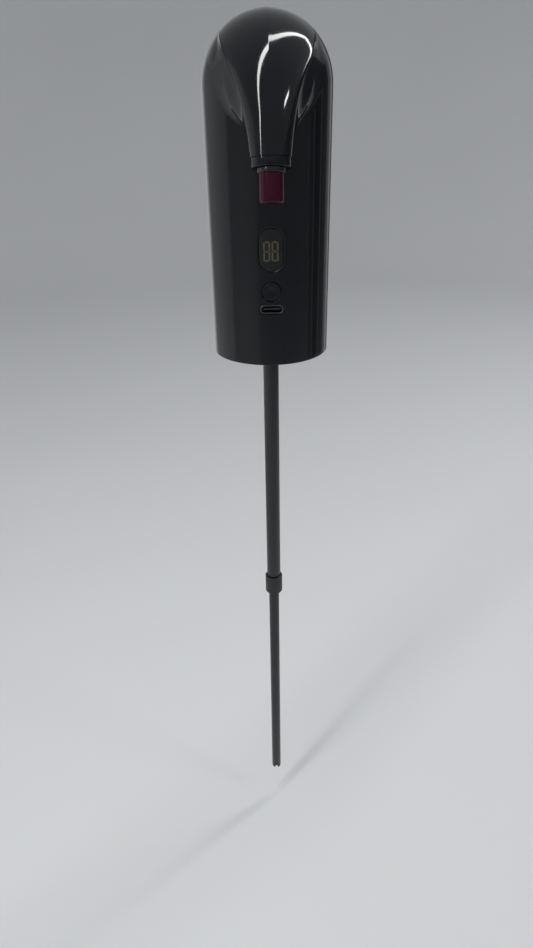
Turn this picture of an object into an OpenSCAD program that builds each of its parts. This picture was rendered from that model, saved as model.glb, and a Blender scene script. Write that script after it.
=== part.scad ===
// Electric wine aerator: pump head with beak, bottle stopper and telescopic dip tube.
// Millimetres, +Z up, beak towards -Y, origin at the middle of the head's bottom rim.

/* [Head] */
// Outside diameter of the round head
head_d = 48; // [47:0.5:52]
// Height from the bottom rim to the top of the dome
head_h = 121.5; // [119:0.5:128]
// Wall of the moulded body shell
wall = 2.2; // [1.6:0.1:2.4]
// Gap left between neighbouring mouldings
seam = 0.1; // [0.05:0.01:0.2]

/* [Beak] */
// Distance from the head's axis to the front of the beak's end
beak_reach = 42.3; // [41:0.1:45]
// Drop from the top of the dome to the beak's end, at the hood's edge
spout_drop = 48.5; // [45.5:0.5:51.5]
// Width of the beak's end
spout_w = 13.9; // [13:0.1:16]
// Depth of the beak's end in front of the hood's edge
spout_front = 5.9; // [5.5:0.1:7]
// Depth of the beak's end behind the hood's edge
spout_back = 6.8; // [6:0.1:7]
// Forward tilt of the beak's end
spout_tilt = 13; // [8:1:16]
// Height of the band that closes the beak
band_h = 3; // [2.5:0.1:4]
// Width of the hood where it crosses the dome
hood_w = 33; // [30:0.5:36]
// Wall of the hood and of the beak
hood_wall = 1.7; // [1.2:0.1:2]

/* [Outlet] */
// Outside diameter of the red tip
tip_d = 8.4; // [7.5:0.1:8.8]
// Length of the red tip below the beak
tip_len = 11.3; // [8:0.1:14]
// Bore of the red tip
tip_bore = 5.2; // [4.6:0.1:6]
// Outside diameter of the ring round the tip
collar_d = 9.6; // [9.4:0.1:11]
// Height of that ring below the beak
collar_h = 1.7; // [1:0.1:3]

/* [Panel] */
// Width of the display window
window_w = 9.2; // [8:0.1:10]
// Height of the display window
window_h = 15.4; // [12:0.1:16]
// Height of the window's middle above the rim
window_z = 44.4; // [43:0.1:46]
// Diameter of the power button
button_d = 7.2; // [6:0.1:7.6]
// Height of the button's middle above the rim
button_z = 29.2; // [28.5:0.1:30]
// Travel of the button
button_travel = 0.5; // [0.3:0.1:0.7]
// Gap round the button
button_gap = 0.2; // [0.1:0.05:0.3]
// Height of the charging port's middle above the rim
port_z = 22.4; // [21:0.1:23]

/* [Bottle fit] */
// Diameter of the neck socket
socket_d = 30.1; // [29:0.1:31]
// Depth from the rim to the top of the bottle's mouth
socket_depth = 20.5; // [17:0.5:21]
// Diameter of the stopper's plug
plug_d = 18.6; // [18:0.1:20]
// Length of the stopper's plug
plug_len = 21.5; // [16:0.5:24]

/* [Dip tube] */
// Outside diameter of the upper tube
tube_d = 6.8; // [6.4:0.1:7.2]
// Wall of both tubes
tube_wall = 0.7; // [0.5:0.05:0.8]
// Depth of the lower tube's end below the rim
tube_reach = 268; // [240:1:290]
// Length of the lower tube left inside the upper one
tube_overlap = 24; // [16:1:40]
// How far the lower tube slides up
tube_travel = 100; // [60:1:100]

/* [Drive] */
// Diameter of the motor and of the pump
motor_d = 19; // [17:0.1:19.2]
// Length of the motor's steel can
motor_len = 20; // [18:0.5:22]
// Diameter of the motor's shaft
shaft_d = 2; // [1.5:0.1:2.3]
// Tilt of the crank pin that rocks the wobble plate
wobble_tilt = 5; // [3:0.5:6]
// Diameter of the battery cell
cell_d = 18.3; // [16:0.1:18.5]
// Length of the battery cell
cell_len = 35; // [30:0.5:37]

/* [Hoses] */
// Outside diameter of the wine hose
wine_hose_d = 5; // [4.6:0.1:5.4]
// Bore of the wine hose
wine_hose_bore = 3.4; // [3:0.1:3.6]
// Outside diameter of the air hose
air_hose_d = 4; // [3.4:0.1:4.4]
// Bore of the air hose
air_hose_bore = 2.4; // [2:0.1:2.6]
// Distance of the wine hose in front of the head's axis
wine_hose_y = 9.5; // [9:0.1:10]
// Distance of the air hose behind the head's axis
air_hose_y = 12; // [11.5:0.1:12.5]

/* [Fasteners] */
// Thread diameter of the case screws
screw_d = 2; // [1.6:0.1:2.2]
// Head diameter of the case screws
screw_head_d = 3.6; // [3:0.1:3.8]
// Head height of the case screws
screw_head_h = 1.3; // [1:0.1:1.6]

/* [Hidden] */
$fn = 64;
// Small clearance between parts that slide over or into each other
ease = 0.05;
// Overshoot that makes a cut pass a face
over = 1;

head_r = head_d / 2;
inner_r = head_r - wall;
dome_z = head_h - head_r;
spout_z = head_h - spout_drop;

// Height of the stack from the bottom rim upwards
base_floor_h = 2;
ceiling_h = 2;
washer_h = 2.5;
ceiling_z = socket_depth + washer_h;
deck_z = ceiling_z + ceiling_h;
manifold_h = 6;
chassis_floor_h = 2;
seat_z = deck_z + manifold_h + 0.5;
cup_h = 5.5;

// Motor and pump stack
motor_r = motor_d / 2;
motor_x = 10.4;
drive_y = 3.5;
cell_r = cell_d / 2;
cell_x = -10.6;
end_cap_h = 3;
can_z = seat_z + end_cap_h;
can_top = can_z + motor_len;
can_wall = 0.8;
// Play of a turning shaft in its bearing, and of one that is pressed in
spin_gap = 0.04;
press_gap = 0.02;
boss_r = shaft_d / 2 + 2;
boss_h = 1.2;
pump_wall = 1.2;
pump_floor_h = 1.3;
eccentric_z = can_top + 2.5;
eccentric_h = 5;
eccentric_r = 5.2;
shaft_seat = 2.4;
wobble_z = eccentric_z + eccentric_h + 2.4;
arm_r = 6.4;
arm_h = 1.2;
button_post_h = 1.2;
arm_end_r = 1.6;
rock_gap = 0.3;
diaphragm_z = wobble_z + arm_h + button_post_h + (arm_r + arm_end_r) * sin(wobble_tilt) + rock_gap;
diaphragm_h = 1.5;
valve_h = 2;
valve_z = diaphragm_z + diaphragm_h;
pump_head_z = valve_z + valve_h;
pump_head_h = 5.5;
barb_h = 6;
pump_top = pump_head_z + pump_head_h;
outlet_x = motor_x - 4;
inlet_x = motor_x + 4;
bracket_z = seat_z + cell_len + 0.2;
bracket_h = 2;

// Board behind the panel
board_t = 1.1;
board_back = socket_d / 2 + 1.45;
board_front = board_back + board_t;
board_w = 16;
board_below_port = 7;
board_above_window = 13;
board_low = port_z - board_below_port;
board_high = window_z + board_above_window;
port_w = 9;
port_h = 3.25;
port_gap = 0.2;
port_wall = 0.35;
port_front = head_r - 0.5;
// How far inside the wall the cuts of the panel end
panel_cut = -inner_r + 2 * wall;

// Beak curves in the YZ plane, as cubic curves through four points
up_y = sin(spout_tilt);
up_z = cos(spout_tilt);
spout_axis = [up_y, up_z];
forward = [-up_z, up_y];
end_edge = [-(beak_reach - spout_front * up_z), spout_z];
band_edge = end_edge + band_h * spout_axis;
hood_half = hood_w / 2;
cap_angle = asin(hood_half / head_r);
brow_z = dome_z + head_r * cos(cap_angle);
crown_end = band_edge + spout_front * forward;
chin_end = band_edge - spout_back * forward;
// How far each curve leaves the dome level, and how far it comes into the beak's end straight
edge_lead = 0.44 * end_edge[0];
crown_lead = -0.79 * head_r;
chin_lead = -0.85 * head_r;
edge_pull = 0.4124 * spout_drop;
crown_pull = 0.4742 * spout_drop;
chin_pull = 0.2268 * spout_drop;
chin_rise = 2.5;
chin_dip = 5;
edge_curve = [[0, brow_z], [edge_lead, brow_z], band_edge + edge_pull * spout_axis, band_edge];
crown_curve = [[0, head_h], [crown_lead, head_h], crown_end + crown_pull * spout_axis, crown_end];
chin_start = [-head_r / 2, dome_z + chin_rise];
chin_curve = [chin_start, [chin_lead, dome_z - chin_dip], chin_end + chin_pull * spout_axis, chin_end];
// Widening of the beak's lower half where it nears the head
chin_flare = 1.6;
// Where along the beak the hood narrows fastest, and how sharply
narrow_at = 0.63;
narrow_rate = 4;
beak_rows = 24;
cap_rows = 7;
arc_steps = 20;
wire_sides = 10;
hose_sides = 18;
bend_steps = 14;

// Curves and lofts

function cubic(p, t) =
    p[0] * pow(1 - t, 3) + 3 * p[1] * t * pow(1 - t, 2) + 3 * p[2] * t * t * (1 - t) + p[3] * pow(t, 3);

function smooth(t) = t <= 0 ? 0 : t >= 1 ? 1 : t * t * (3 - 2 * t);

function fade(t) = 1 / (1 + pow(t / narrow_at, narrow_rate));

// Half width of the hood's edge, from the dome (0) to the beak's end (1)
function edge_half(t) =
    spout_w / 2 + (hood_half - spout_w / 2) * (fade(t) - fade(1)) / (1 - fade(1));

// Half angle of the hood's arc: part of the dome's circle at first, half an ellipse at the beak
function arc_half(t) = cap_angle + (90 - cap_angle) * smooth((t - 0.15) / 0.6);

// A hood section as [centre, direction, half width, height, half angle] of its ellipse
function beak_section(t) =
    let (
        edge = cubic(edge_curve, t),
        rise = cubic(crown_curve, t) - edge,
        a = arc_half(t),
        tall = norm(rise) / (1 - cos(a)),
        dir = rise / norm(rise)
    )
    [edge - tall * cos(a) * dir, dir, edge_half(t) / sin(a), tall, a];

// The back of the hood is a cap of the dome; its sections lean back by v of the cap's angle
function cap_section(v) =
    let (lean = cap_angle * sin(90 * v), a = acos(cos(cap_angle) / cos(lean)))
    [[0, dome_z], [sin(lean), cos(lean)], head_r, head_r, a];

// One closed row: the arc set in by inset, with its ends carried down by drop
function hood_row(s, inset, drop) =
    let (
        c = s[0], dir = s[1], wide = s[2] - inset, tall = s[3] - inset,
        a = acos(min(1, s[3] * cos(s[4]) / tall)),
        low = tall * cos(a) - drop
    )
    concat(
        [[wide * sin(-a), c[0] + low * dir[0], c[1] + low * dir[1]]],
        [for (k = [0:arc_steps])
            let (q = a * (2 * k / arc_steps - 1), n = tall * cos(q))
            [wide * sin(q), c[0] + n * dir[0], c[1] + n * dir[1]]],
        [[wide * sin(a), c[0] + low * dir[0], c[1] + low * dir[1]]]
    );

// One closed row of the beak's lower half: a squarish U from edge to edge, flared towards the head
function chin_row(t, inset, lift) =
    let (
        edge = cubic(edge_curve, t),
        fall = cubic(chin_curve, t) - edge,
        dir = fall / norm(fall),
        deep = norm(fall) - inset,
        wide = edge_half(t) - inset,
        flare = chin_flare * (1 - smooth((t - 0.45) / 0.4))
    )
    concat(
        [[wide, edge[0] - lift * dir[0], edge[1] - lift * dir[1]]],
        [for (k = [1:arc_steps - 1])
            let (
                q = 180 * k / arc_steps,
                n = pow(sin(q), 0.5),
                side = sign(cos(q)) * pow(abs(cos(q)), 0.5)
            )
            [side * (wide + flare * n), edge[0] + n * deep * dir[0], edge[1] + n * deep * dir[1]]],
        [[-wide, edge[0] - lift * dir[0], edge[1] - lift * dir[1]]]
    );

// Outline of the beak's end across its own axis
function end_outline(inset) =
    concat(
        [for (k = [0:arc_steps])
            let (q = 180 * k / arc_steps)
            [(spout_w / 2 - inset) * cos(q), -(spout_front - inset) * sin(q)]],
        [for (k = [1:arc_steps - 1])
            let (q = 180 * k / arc_steps)
            [-(spout_w / 2 - inset) * sign(cos(q)) * pow(abs(cos(q)), 0.5),
             (spout_back - inset) * pow(sin(q), 0.5)]]
    );

// A closed solid through rows of points of equal length
module loft(rows) {
    n = len(rows[0]);
    last = len(rows) - 1;
    points = [for (r = rows) for (p = r) p];
    sides = [
        for (i = [0:last - 1], j = [0:n - 1])
            let (a = i * n + j, b = i * n + (j + 1) % n, c = a + n, d = b + n)
            each [[a, b, d], [a, d, c]]
    ];
    first_cap = [for (j = [n - 1:-1:0]) j];
    last_cap = [for (j = [0:n - 1]) last * n + j];
    polyhedron(points, concat(sides, [first_cap, last_cap]));
}

module hood_solid(inset, drop, cap_end, past) {
    rows = concat(
        [for (k = [cap_rows:-1:1]) hood_row(cap_section(cap_end * k / cap_rows), inset, drop)],
        [for (k = [0:beak_rows]) hood_row(beak_section(k / beak_rows), inset, drop)],
        past > 0
            ? [[for (p = hood_row(beak_section(1), inset, drop))
                [p[0], p[1] - past * up_y, p[2] - past * up_z]]]
            : []
    );
    loft(rows);
}

module chin_solid(inset, lift, past) {
    from = 0.34;
    rows = concat(
        [for (k = [0:beak_rows]) chin_row(from + (1 - from) * k / beak_rows, inset, lift)],
        past > 0
            ? [[for (p = chin_row(1, inset, lift)) [p[0], p[1] - past * up_y, p[2] - past * up_z]]]
            : []
    );
    loft(rows);
}

// Everything above the hood's parting line, right across the head
module above_edge() {
    line = [for (k = [0:beak_rows]) cubic(edge_curve, k / beak_rows)];
    front = band_edge - 2 * band_h * spout_axis;
    high = head_h + head_r;
    rotate([90, 0, 90])
        translate([0, 0, -head_r - over])
            linear_extrude(head_d + 2 * over)
                polygon(concat(
                    [[head_r + over, brow_z]],
                    line,
                    [front, [-2 * head_r, front[1]], [-2 * head_r, high], [head_r + over, high]]
                ));
}

// Repeated shapes

module rod_y(r, y0, y1, x = 0, z = 0) {
    translate([x, y0, z]) rotate([-90, 0, 0]) cylinder(r = r, h = y1 - y0);
}

module rod_z(r, z0, z1, x = 0, y = 0) {
    translate([x, y, z0]) cylinder(r = r, h = z1 - z0);
}

module pipe_z(r, bore, z0, z1, x = 0, y = 0) {
    difference() {
        rod_z(r, z0, z1, x, y);
        rod_z(bore, z0 - over, z1 + over, x, y);
    }
}

module stadium(w, h) {
    r = min(w, h) / 2;
    run = abs(w - h) / 2;
    turn = h > w ? 90 : 0;
    rotate(turn) {
        square([2 * run, 2 * r], center = true);
        for (s = [-1, 1]) translate([s * run, 0]) circle(r);
    }
}

module stadium_y(w, h, y0, y1, z) {
    translate([0, y1, z]) rotate([90, 0, 0]) linear_extrude(y1 - y0) stadium(w, h);
}

// A round wire swept along its points, with a mitred ring of points at each corner
function wire_ring(points, k, d, sides) =
    let (
        last = len(points) - 1,
        ahead = points[min(k + 1, last)] - points[min(k, last - 1)],
        behind = points[max(k, 1)] - points[max(k - 1, 0)],
        dir = ahead / norm(ahead) + behind / norm(behind),
        axis = dir / norm(dir),
        side = cross(axis, [1, 0.2, 0.1]),
        u = side / norm(side),
        v = cross(axis, u)
    )
    [for (q = [0:sides - 1])
        points[k] + d / 2 * (cos(360 * q / sides) * u + sin(360 * q / sides) * v)];

module wire(points, d) {
    loft([for (k = [0:len(points) - 1]) wire_ring(points, k, d, wire_sides)]);
}

// A hose swept along its points: an outer and an inner skin, joined by a ring at each end
module hose(points, d, bore) {
    n = hose_sides;
    last = len(points) - 1;
    inside = n * (last + 1);
    skins = [for (size = [d, bore], k = [0:last]) each wire_ring(points, k, size, n)];
    walls = [
        for (i = [0:last - 1], j = [0:n - 1])
            let (a = i * n + j, b = i * n + (j + 1) % n, c = a + n, e = b + n)
            each [
                [a, b, e], [a, e, c],
                [inside + a, inside + e, inside + b], [inside + a, inside + c, inside + e]
            ]
    ];
    ends = [
        for (j = [0:n - 1])
            let (a = j, b = (j + 1) % n, c = last * n + a, e = last * n + b)
            each [
                [b, a, inside + a], [b, inside + a, inside + b],
                [c, e, inside + e], [c, inside + e, inside + c]
            ]
    ];
    polyhedron(skins, concat(walls, ends));
}

// A pan-head screw: its thread runs from z = 0 up to the head at z = length
module screw(length) {
    cylinder(d = screw_d, h = 0.01 + length, $fn = 32);
    translate([0, 0, length])
        difference() {
            cylinder(d = screw_head_d, h = screw_head_h);
            for (turn = [0, 90])
                rotate(turn)
                    translate([0, 0, screw_head_h])
                        cube([screw_head_d * 0.6, 0.5, screw_head_h], center = true);
        }
}

module at_spout() {
    translate([0, end_edge[0], end_edge[1]]) rotate([-spout_tilt, 0, 0]) children();
}

module at_pump() {
    translate([motor_x, drive_y, 0]) children();
}

// The wobble plate's own axis: tilted about its centre on the motor's axis
module at_wobble() {
    at_pump() translate([0, 0, wobble_z]) rotate([0, wobble_tilt, 0]) children();
}

module around(count, r, start = 0) {
    for (k = [0:count - 1]) rotate(start + k * 360 / count) translate([r, 0, 0]) children();
}

// Housing

base_boss_r = 2.3;
base_boss_at = inner_r - 2;
base_boss_h = 8;
base_boss_start = 90;
board_boss_r = 1.7;
board_screw_x = 6.4;
// The lower pair clears the button's switch, the upper pair the display
board_screw_up = 18.1;
board_screw_down = 2.4;
board_screw_z = [board_low + board_screw_up, board_high - board_screw_down];
board_screw_len = 4;
chassis_screw_at = [[15.6, -9.5], [-15.6, -9.5], [7.5, 16.5], [-7.5, 16.5]];
chassis_screw_len = 7;
chassis_post_r = 2.2;
bracket_post = [[-0.5, 17], [-0.5, -3.6]];
bracket_post_r = 2;
bracket_screw_len = 6;

module bullet(r, top_z) {
    rotate_extrude()
        intersection() {
            union() {
                square([r, top_z]);
                translate([0, top_z]) circle(r);
            }
            translate([0, -over]) square([r + over, top_z + r + 2 * over]);
        }
}

module body_shell() {
    color("#0d0d0f")
        difference() {
            union() {
                difference() {
                    union() {
                        bullet(head_r, dome_z);
                        chin_solid(0, over, 0);
                    }
                    translate([0, 0, -over]) bullet(inner_r, dome_z + over);
                    chin_solid(hood_wall, 2 * over, over);
                    above_edge();
                }
                difference() {
                    union() {
                        around(3, base_boss_at, base_boss_start)
                            rod_z(base_boss_r, base_floor_h, base_floor_h + base_boss_h);
                        for (x = [-1, 1], z = board_screw_z)
                            rod_y(board_boss_r, -inner_r, -board_front, x * board_screw_x, z);
                    }
                    difference() {
                        cylinder(r = head_r + wall, h = head_h);
                        cylinder(r = inner_r + wall / 2, h = head_h);
                    }
                }
            }
            around(3, base_boss_at, base_boss_start)
                rod_z(screw_d / 2 + ease, -over, base_floor_h + base_boss_h - 1);
            for (x = [-1, 1], z = board_screw_z)
                rod_y(screw_d / 2 + ease, -inner_r + 0.4, -board_front + over, x * board_screw_x, z);
            stadium_y(window_w + 2 * seam, window_h + 2 * seam, -head_r - over, panel_cut, window_z);
            rod_y(button_d / 2 + button_gap, -head_r - over, panel_cut, 0, button_z);
            stadium_y(port_w + 2 * port_gap, port_h + 2 * port_gap, -head_r - over, panel_cut, port_z);
        }
}

module hood_cover() {
    color("#111113")
        difference() {
            hood_solid(0, 0, 0.97, 0);
            hood_solid(hood_wall, over, 0.72, over);
            above_edge_gap();
        }
}

// A thin strip along the parting line, which leaves the seam between hood and body
module above_edge_gap() {
    difference() {
        translate([0, over, -over]) above_edge();
        translate([0, -seam, seam]) above_edge();
    }
}

module spout_end_ring() {
    inset = 0.3;
    floor_h = 1.2;
    color("#141416")
        at_spout()
            difference() {
                linear_extrude(band_h - seam) polygon(end_outline(inset));
                translate([0, 0, floor_h])
                    linear_extrude(band_h) polygon(end_outline(inset + hood_wall));
                cylinder(d = tip_d + 2 * ease, h = 3 * band_h, center = true);
            }
}

module nozzle_collar() {
    color("#1a1a1c")
        at_spout()
            difference() {
                translate([0, 0, -collar_h]) cylinder(d = collar_d, h = collar_h);
                cylinder(d = tip_d + 2 * ease, h = 6 * collar_h, center = true);
            }
}

module outlet_tip() {
    edge_r = 1.2;
    seat_h = 1.1;
    color("#5a0f1e")
        at_spout()
            rotate_extrude()
                translate([0, -tip_len])
                    difference() {
                        union() {
                            translate([0, edge_r]) square([tip_d / 2, tip_len + seat_h - edge_r]);
                            square([tip_d / 2 - edge_r, edge_r]);
                            translate([tip_d / 2 - edge_r, edge_r]) circle(edge_r);
                        }
                        translate([-tip_d, -over]) square([tip_d + tip_bore / 2, tip_len + 3 * over]);
                    }
}

insert_flange_z = 1.2;
insert_flange_h = 1.5;
insert_barb_h = 6;

module aerator_insert() {
    nozzle_r = tip_bore / 2 - ease;
    flange_r = spout_front - hood_wall - 0.9;
    bore_r = 1.1;
    air_hole_r = 0.5;
    color("#d8d8d2")
        at_spout()
            difference() {
                union() {
                    rod_z(nozzle_r, -tip_len * 0.5, insert_flange_z);
                    rod_z(flange_r, insert_flange_z, insert_flange_z + insert_flange_h);
                    rod_z(wine_hose_bore / 2 - ease, insert_flange_z,
                          insert_flange_z + insert_flange_h + insert_barb_h);
                }
                rod_z(bore_r, -tip_len, band_h + 2 * insert_barb_h);
                translate([0, 0, -tip_len * 0.3])
                    around(4, 0) rotate([0, 90, 0]) cylinder(r = air_hole_r, h = tip_d);
            }
}

// Panel

window_t = wall - 0.3;
window_sink = 0.25;
display_h = window_h - 1.2;
display_w = window_w - 0.6;
display_set = 1.2;
display_front = inner_r - display_set;
// Two narrow digits, a little under the window's middle
digit_h = 7.3;
digit_w = 2.5;
digit_gap = 0.6;
digit_room = 0.4;
digit_z = window_z - 0.9;
segment_w = 0.55;
segment_t = 0.12;

module display_window() {
    color("#1c1c20")
        intersection() {
            stadium_y(window_w, window_h, -head_r - over, panel_cut, window_z);
            difference() {
                cylinder(r = head_r - window_sink, h = head_h);
                translate([0, 0, -over]) cylinder(r = head_r - window_t, h = head_h + 2 * over);
            }
        }
}

module display_module() {
    color("#26262a")
        difference() {
            translate([-display_w / 2, -display_front, window_z - display_h / 2])
                cube([display_w, display_front - board_front, display_h]);
            for (s = [-1, 1])
                translate([s * (digit_w + digit_gap) / 2, -display_front, digit_z])
                    cube([digit_w + digit_room, 2 * segment_t, digit_h + digit_room], center = true);
        }
}

// Seven bars: middle, top and bottom lie flat, the other four stand
module digit() {
    bar = digit_w - 2 * segment_w - 0.2;
    post = digit_h / 2 - segment_w * 1.2;
    for (z = [-1, 0, 1])
        translate([0, 0, z * (digit_h - segment_w) / 2]) cube([bar, segment_t, segment_w], center = true);
    for (x = [-1, 1], z = [-1, 1])
        translate([x * (digit_w - segment_w) / 2, 0, z * digit_h / 4])
            cube([segment_w, segment_t, post], center = true);
}

module display_digits() {
    color("#e6dfae")
        for (s = [-1, 1])
            translate([s * (digit_w + digit_gap) / 2, -display_front + segment_t / 2, digit_z]) digit();
}

button_front = head_r - 0.1;
button_flange_front = inner_r - 0.8;
button_flange_t = 0.8;
button_brim = 0.6;
dish_r = 10;
dish_deep = 0.18;
plunger_front = button_flange_front - button_flange_t - ease;
plunger_r = 1.4;
switch_front = plunger_front - button_travel - 0.4;
switch_w = 5;

module power_button() {
    flange_r = button_d / 2 + button_brim;
    color("#101012")
        difference() {
            union() {
                rod_y(button_d / 2, -button_front, -button_flange_front, 0, button_z);
                rod_y(flange_r, -button_flange_front, -button_flange_front + button_flange_t, 0, button_z);
            }
            translate([0, -button_front, button_z])
                rotate([90, 0, 0]) translate([0, 0, dish_r - dish_deep]) sphere(r = dish_r);
        }
}

module button_switch() {
    color("#2b2b2e")
        difference() {
            translate([-switch_w / 2, -switch_front, button_z - switch_w / 2])
                cube([switch_w, switch_front - board_front, switch_w]);
            rod_y(plunger_r + ease, -switch_front - over, -board_front - 0.2, 0, button_z);
        }
}

module switch_plunger() {
    color("#c8c4b8")
        rod_y(plunger_r, -plunger_front, -board_front - 0.3 - button_travel, 0, button_z);
}

module usb_receptacle() {
    color("#b9bcc0")
        difference() {
            stadium_y(port_w, port_h, -port_front, -board_front, port_z);
            stadium_y(port_w - 2 * port_wall, port_h - 2 * port_wall,
                      -port_front - over, -board_front - 0.6, port_z);
        }
}

module usb_tongue() {
    tongue_w = port_w - 2.4;
    tongue_t = 0.7;
    setback = 0.8;
    color("#0c0c0c")
        translate([-tongue_w / 2, -port_front + setback, port_z - tongue_t / 2])
            cube([tongue_w, port_front - board_front - setback - 0.6, tongue_t]);
}

module control_board() {
    color("#14532d")
        difference() {
            translate([-board_w / 2, -board_front, board_low])
                cube([board_w, board_t, board_high - board_low]);
            for (x = [-1, 1], z = board_screw_z)
                rod_y(screw_d / 2 + ease, -board_front - over, -board_back + over, x * board_screw_x, z);
        }
}

module board_screws() {
    color("#9a9da2")
        for (x = [-1, 1], z = board_screw_z)
            translate([x * board_screw_x, -board_back - board_screw_len, z])
                rotate([-90, 0, 0]) screw(board_screw_len);
}

// Bottle fit

socket_r = socket_d / 2;
socket_wall = 1.2;
deck_r = inner_r - 1.3;
deck_front = board_back - 0.3;
spigot_r = 6.2;
tube_bore_r = tube_d / 2 + ease;
tube_seat_z = socket_depth - 3;
air_way_y = 4.9;
air_way_r = 0.7;
wine_way_r = 1.5;
way_z = deck_z + manifold_h / 2;
stopper_bottom = socket_depth - plug_len;
rib_h = 1.1;
plug_root_r = plug_d / 2 - rib_h;
washer_brim = 3.4;
manifold_hub_r = 9.5;
wine_arm_r = 3.6;
air_arm_r = 3.2;
arm_gap = 0.2;

module base_cover() {
    color("#17171a")
        difference() {
            rod_z(inner_r - 0.15, 0, base_floor_h);
            rod_z(socket_r, -over, base_floor_h + over);
            around(3, base_boss_at, base_boss_start) {
                rod_z(screw_d / 2 + ease, -over, base_floor_h + over);
                rod_z(screw_head_d / 2 + 0.2, -over, base_floor_h / 2);
            }
        }
}

module neck_sleeve() {
    color("#17171a") pipe_z(socket_r + socket_wall, socket_r, base_floor_h, ceiling_z);
}

// The plate over the sleeve, with the posts that take the chassis screws
module deck_plate() {
    color("#1d1d20")
        difference() {
            union() {
                intersection() {
                    rod_z(deck_r, ceiling_z, deck_z);
                    translate([-head_r, -deck_front, 0]) cube([head_d, head_d, head_h]);
                }
                difference() {
                    for (p = chassis_screw_at)
                        rod_z(chassis_post_r, deck_z - chassis_screw_len, deck_z, p[0], p[1]);
                    rod_z(socket_r + socket_wall + ease, 0, ceiling_z);
                }
            }
            rod_z(spigot_r + ease, 0, deck_z + over);
            for (p = chassis_screw_at)
                rod_z(screw_d / 2 + ease, deck_z - chassis_screw_len - over, deck_z + over, p[0], p[1]);
        }
}

module base_screws() {
    length = base_boss_h - 1.5;
    color("#9a9da2")
        around(3, base_boss_at, base_boss_start)
            translate([0, 0, base_floor_h / 2 + length]) mirror([0, 0, 1]) screw(length);
}

module bottle_stopper() {
    ribs = 4;
    rib_pitch = plug_len / (ribs + 0.5);
    whole_len = ceiling_z - stopper_bottom;
    color("#2a2a2d")
        rotate_extrude()
            difference() {
                union() {
                    translate([0, stopper_bottom]) square([plug_root_r, whole_len]);
                    for (k = [0:ribs - 1])
                        translate([0, stopper_bottom + (k + 0.1) * rib_pitch])
                            square([plug_d / 2, rib_pitch * 0.5]);
                }
                translate([-plug_d, stopper_bottom - over])
                    square([plug_d + spigot_r + ease, whole_len + 2 * over]);
            }
}

// The soft ring round the plug's neck that the bottle's mouth presses against
module mouth_washer() {
    color("#2a2a2d") pipe_z(plug_d / 2 + washer_brim, plug_root_r + ease, socket_depth, ceiling_z);
}

module arm_bar(r, y, z0, z1) {
    translate([-r, min(0, y), z0]) cube([2 * r, abs(y), z1 - z0]);
    rod_z(r, z0, z1, 0, y);
}

module manifold() {
    top_z = deck_z + manifold_h;
    color("#3a3a3e")
        difference() {
            union() {
                rod_z(spigot_r, stopper_bottom, deck_z + 0.01);
                rod_z(manifold_hub_r, deck_z, top_z);
                arm_bar(wine_arm_r, -wine_hose_y, deck_z, top_z);
                arm_bar(air_arm_r, air_hose_y, deck_z, top_z);
                rod_z(wine_hose_bore / 2 - ease, top_z, top_z + barb_h, 0, -wine_hose_y);
                rod_z(air_hose_bore / 2 - ease, top_z, top_z + barb_h, 0, air_hose_y);
            }
            rod_z(tube_bore_r, stopper_bottom - over, tube_seat_z);
            rod_z(wine_way_r, tube_seat_z - over, way_z);
            rod_y(wine_way_r, -wine_hose_y, 0, 0, way_z);
            rod_z(wine_way_r - 0.4, way_z, top_z + barb_h + over, 0, -wine_hose_y);
            rod_z(air_way_r, stopper_bottom - over, way_z, 0, air_way_y);
            rod_y(air_way_r, air_way_y, air_hose_y, 0, way_z);
            rod_z(air_way_r, way_z, top_z + barb_h + over, 0, air_hose_y);
            pipe_z(gasket_r, gasket_bore, deck_z - over, deck_z + gasket_h);
        }
}

gasket_r = 8.6;
gasket_bore = 7;
gasket_h = 0.9;

module manifold_gasket() {
    color("#8a8a8a") pipe_z(gasket_r - ease, gasket_bore + ease, deck_z, deck_z + gasket_h - ease);
}

// Dip tube

tube_spare = 4;
upper_tube_len = tube_travel + tube_overlap + tube_spare;
lower_tube_r = tube_d / 2 - tube_wall - 0.1;
gland_r = tube_d / 2 + 0.9;
gland_h = 10;
gland_lip = 2;
lower_tube_top = -(upper_tube_len - tube_overlap);

module upper_dip_tube() {
    color("#1b1b1d")
        pipe_z(tube_d / 2, tube_d / 2 - tube_wall, -upper_tube_len, tube_seat_z - 0.2);
}

module lower_dip_tube() {
    notch_w = 1.6;
    notch_h = 1.5;
    color("#232326")
        difference() {
            pipe_z(lower_tube_r, lower_tube_r - tube_wall, -tube_reach, lower_tube_top);
            for (turn = [0, 90])
                rotate(turn)
                    translate([0, 0, -tube_reach])
                        cube([notch_w, 3 * tube_d, 2 * notch_h], center = true);
        }
}

module tube_gland() {
    low = -upper_tube_len - gland_lip - seal_h;
    color("#19191b")
        difference() {
            rod_z(gland_r, low, low + gland_h);
            rod_z(lower_tube_r + 0.1, low - over, low + gland_h);
            rod_z(tube_d / 2 + ease, low + gland_lip, low + gland_h + over);
        }
}

seal_h = 1.6;

module gland_seal() {
    color("#6b6b6b")
        pipe_z(tube_d / 2, lower_tube_r + ease, -upper_tube_len - seal_h, -upper_tube_len);
}

// Frame, cell and drive

cup_wall = 1;
cup_gap = 0.15;
cup_top = seat_z + cup_h;
divider_t = 1;
divider_y = [-3, 8.5];
// Width and depth of the slot that lets the motor's leads out of its cup
lead_slot = [5, 7];

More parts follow.
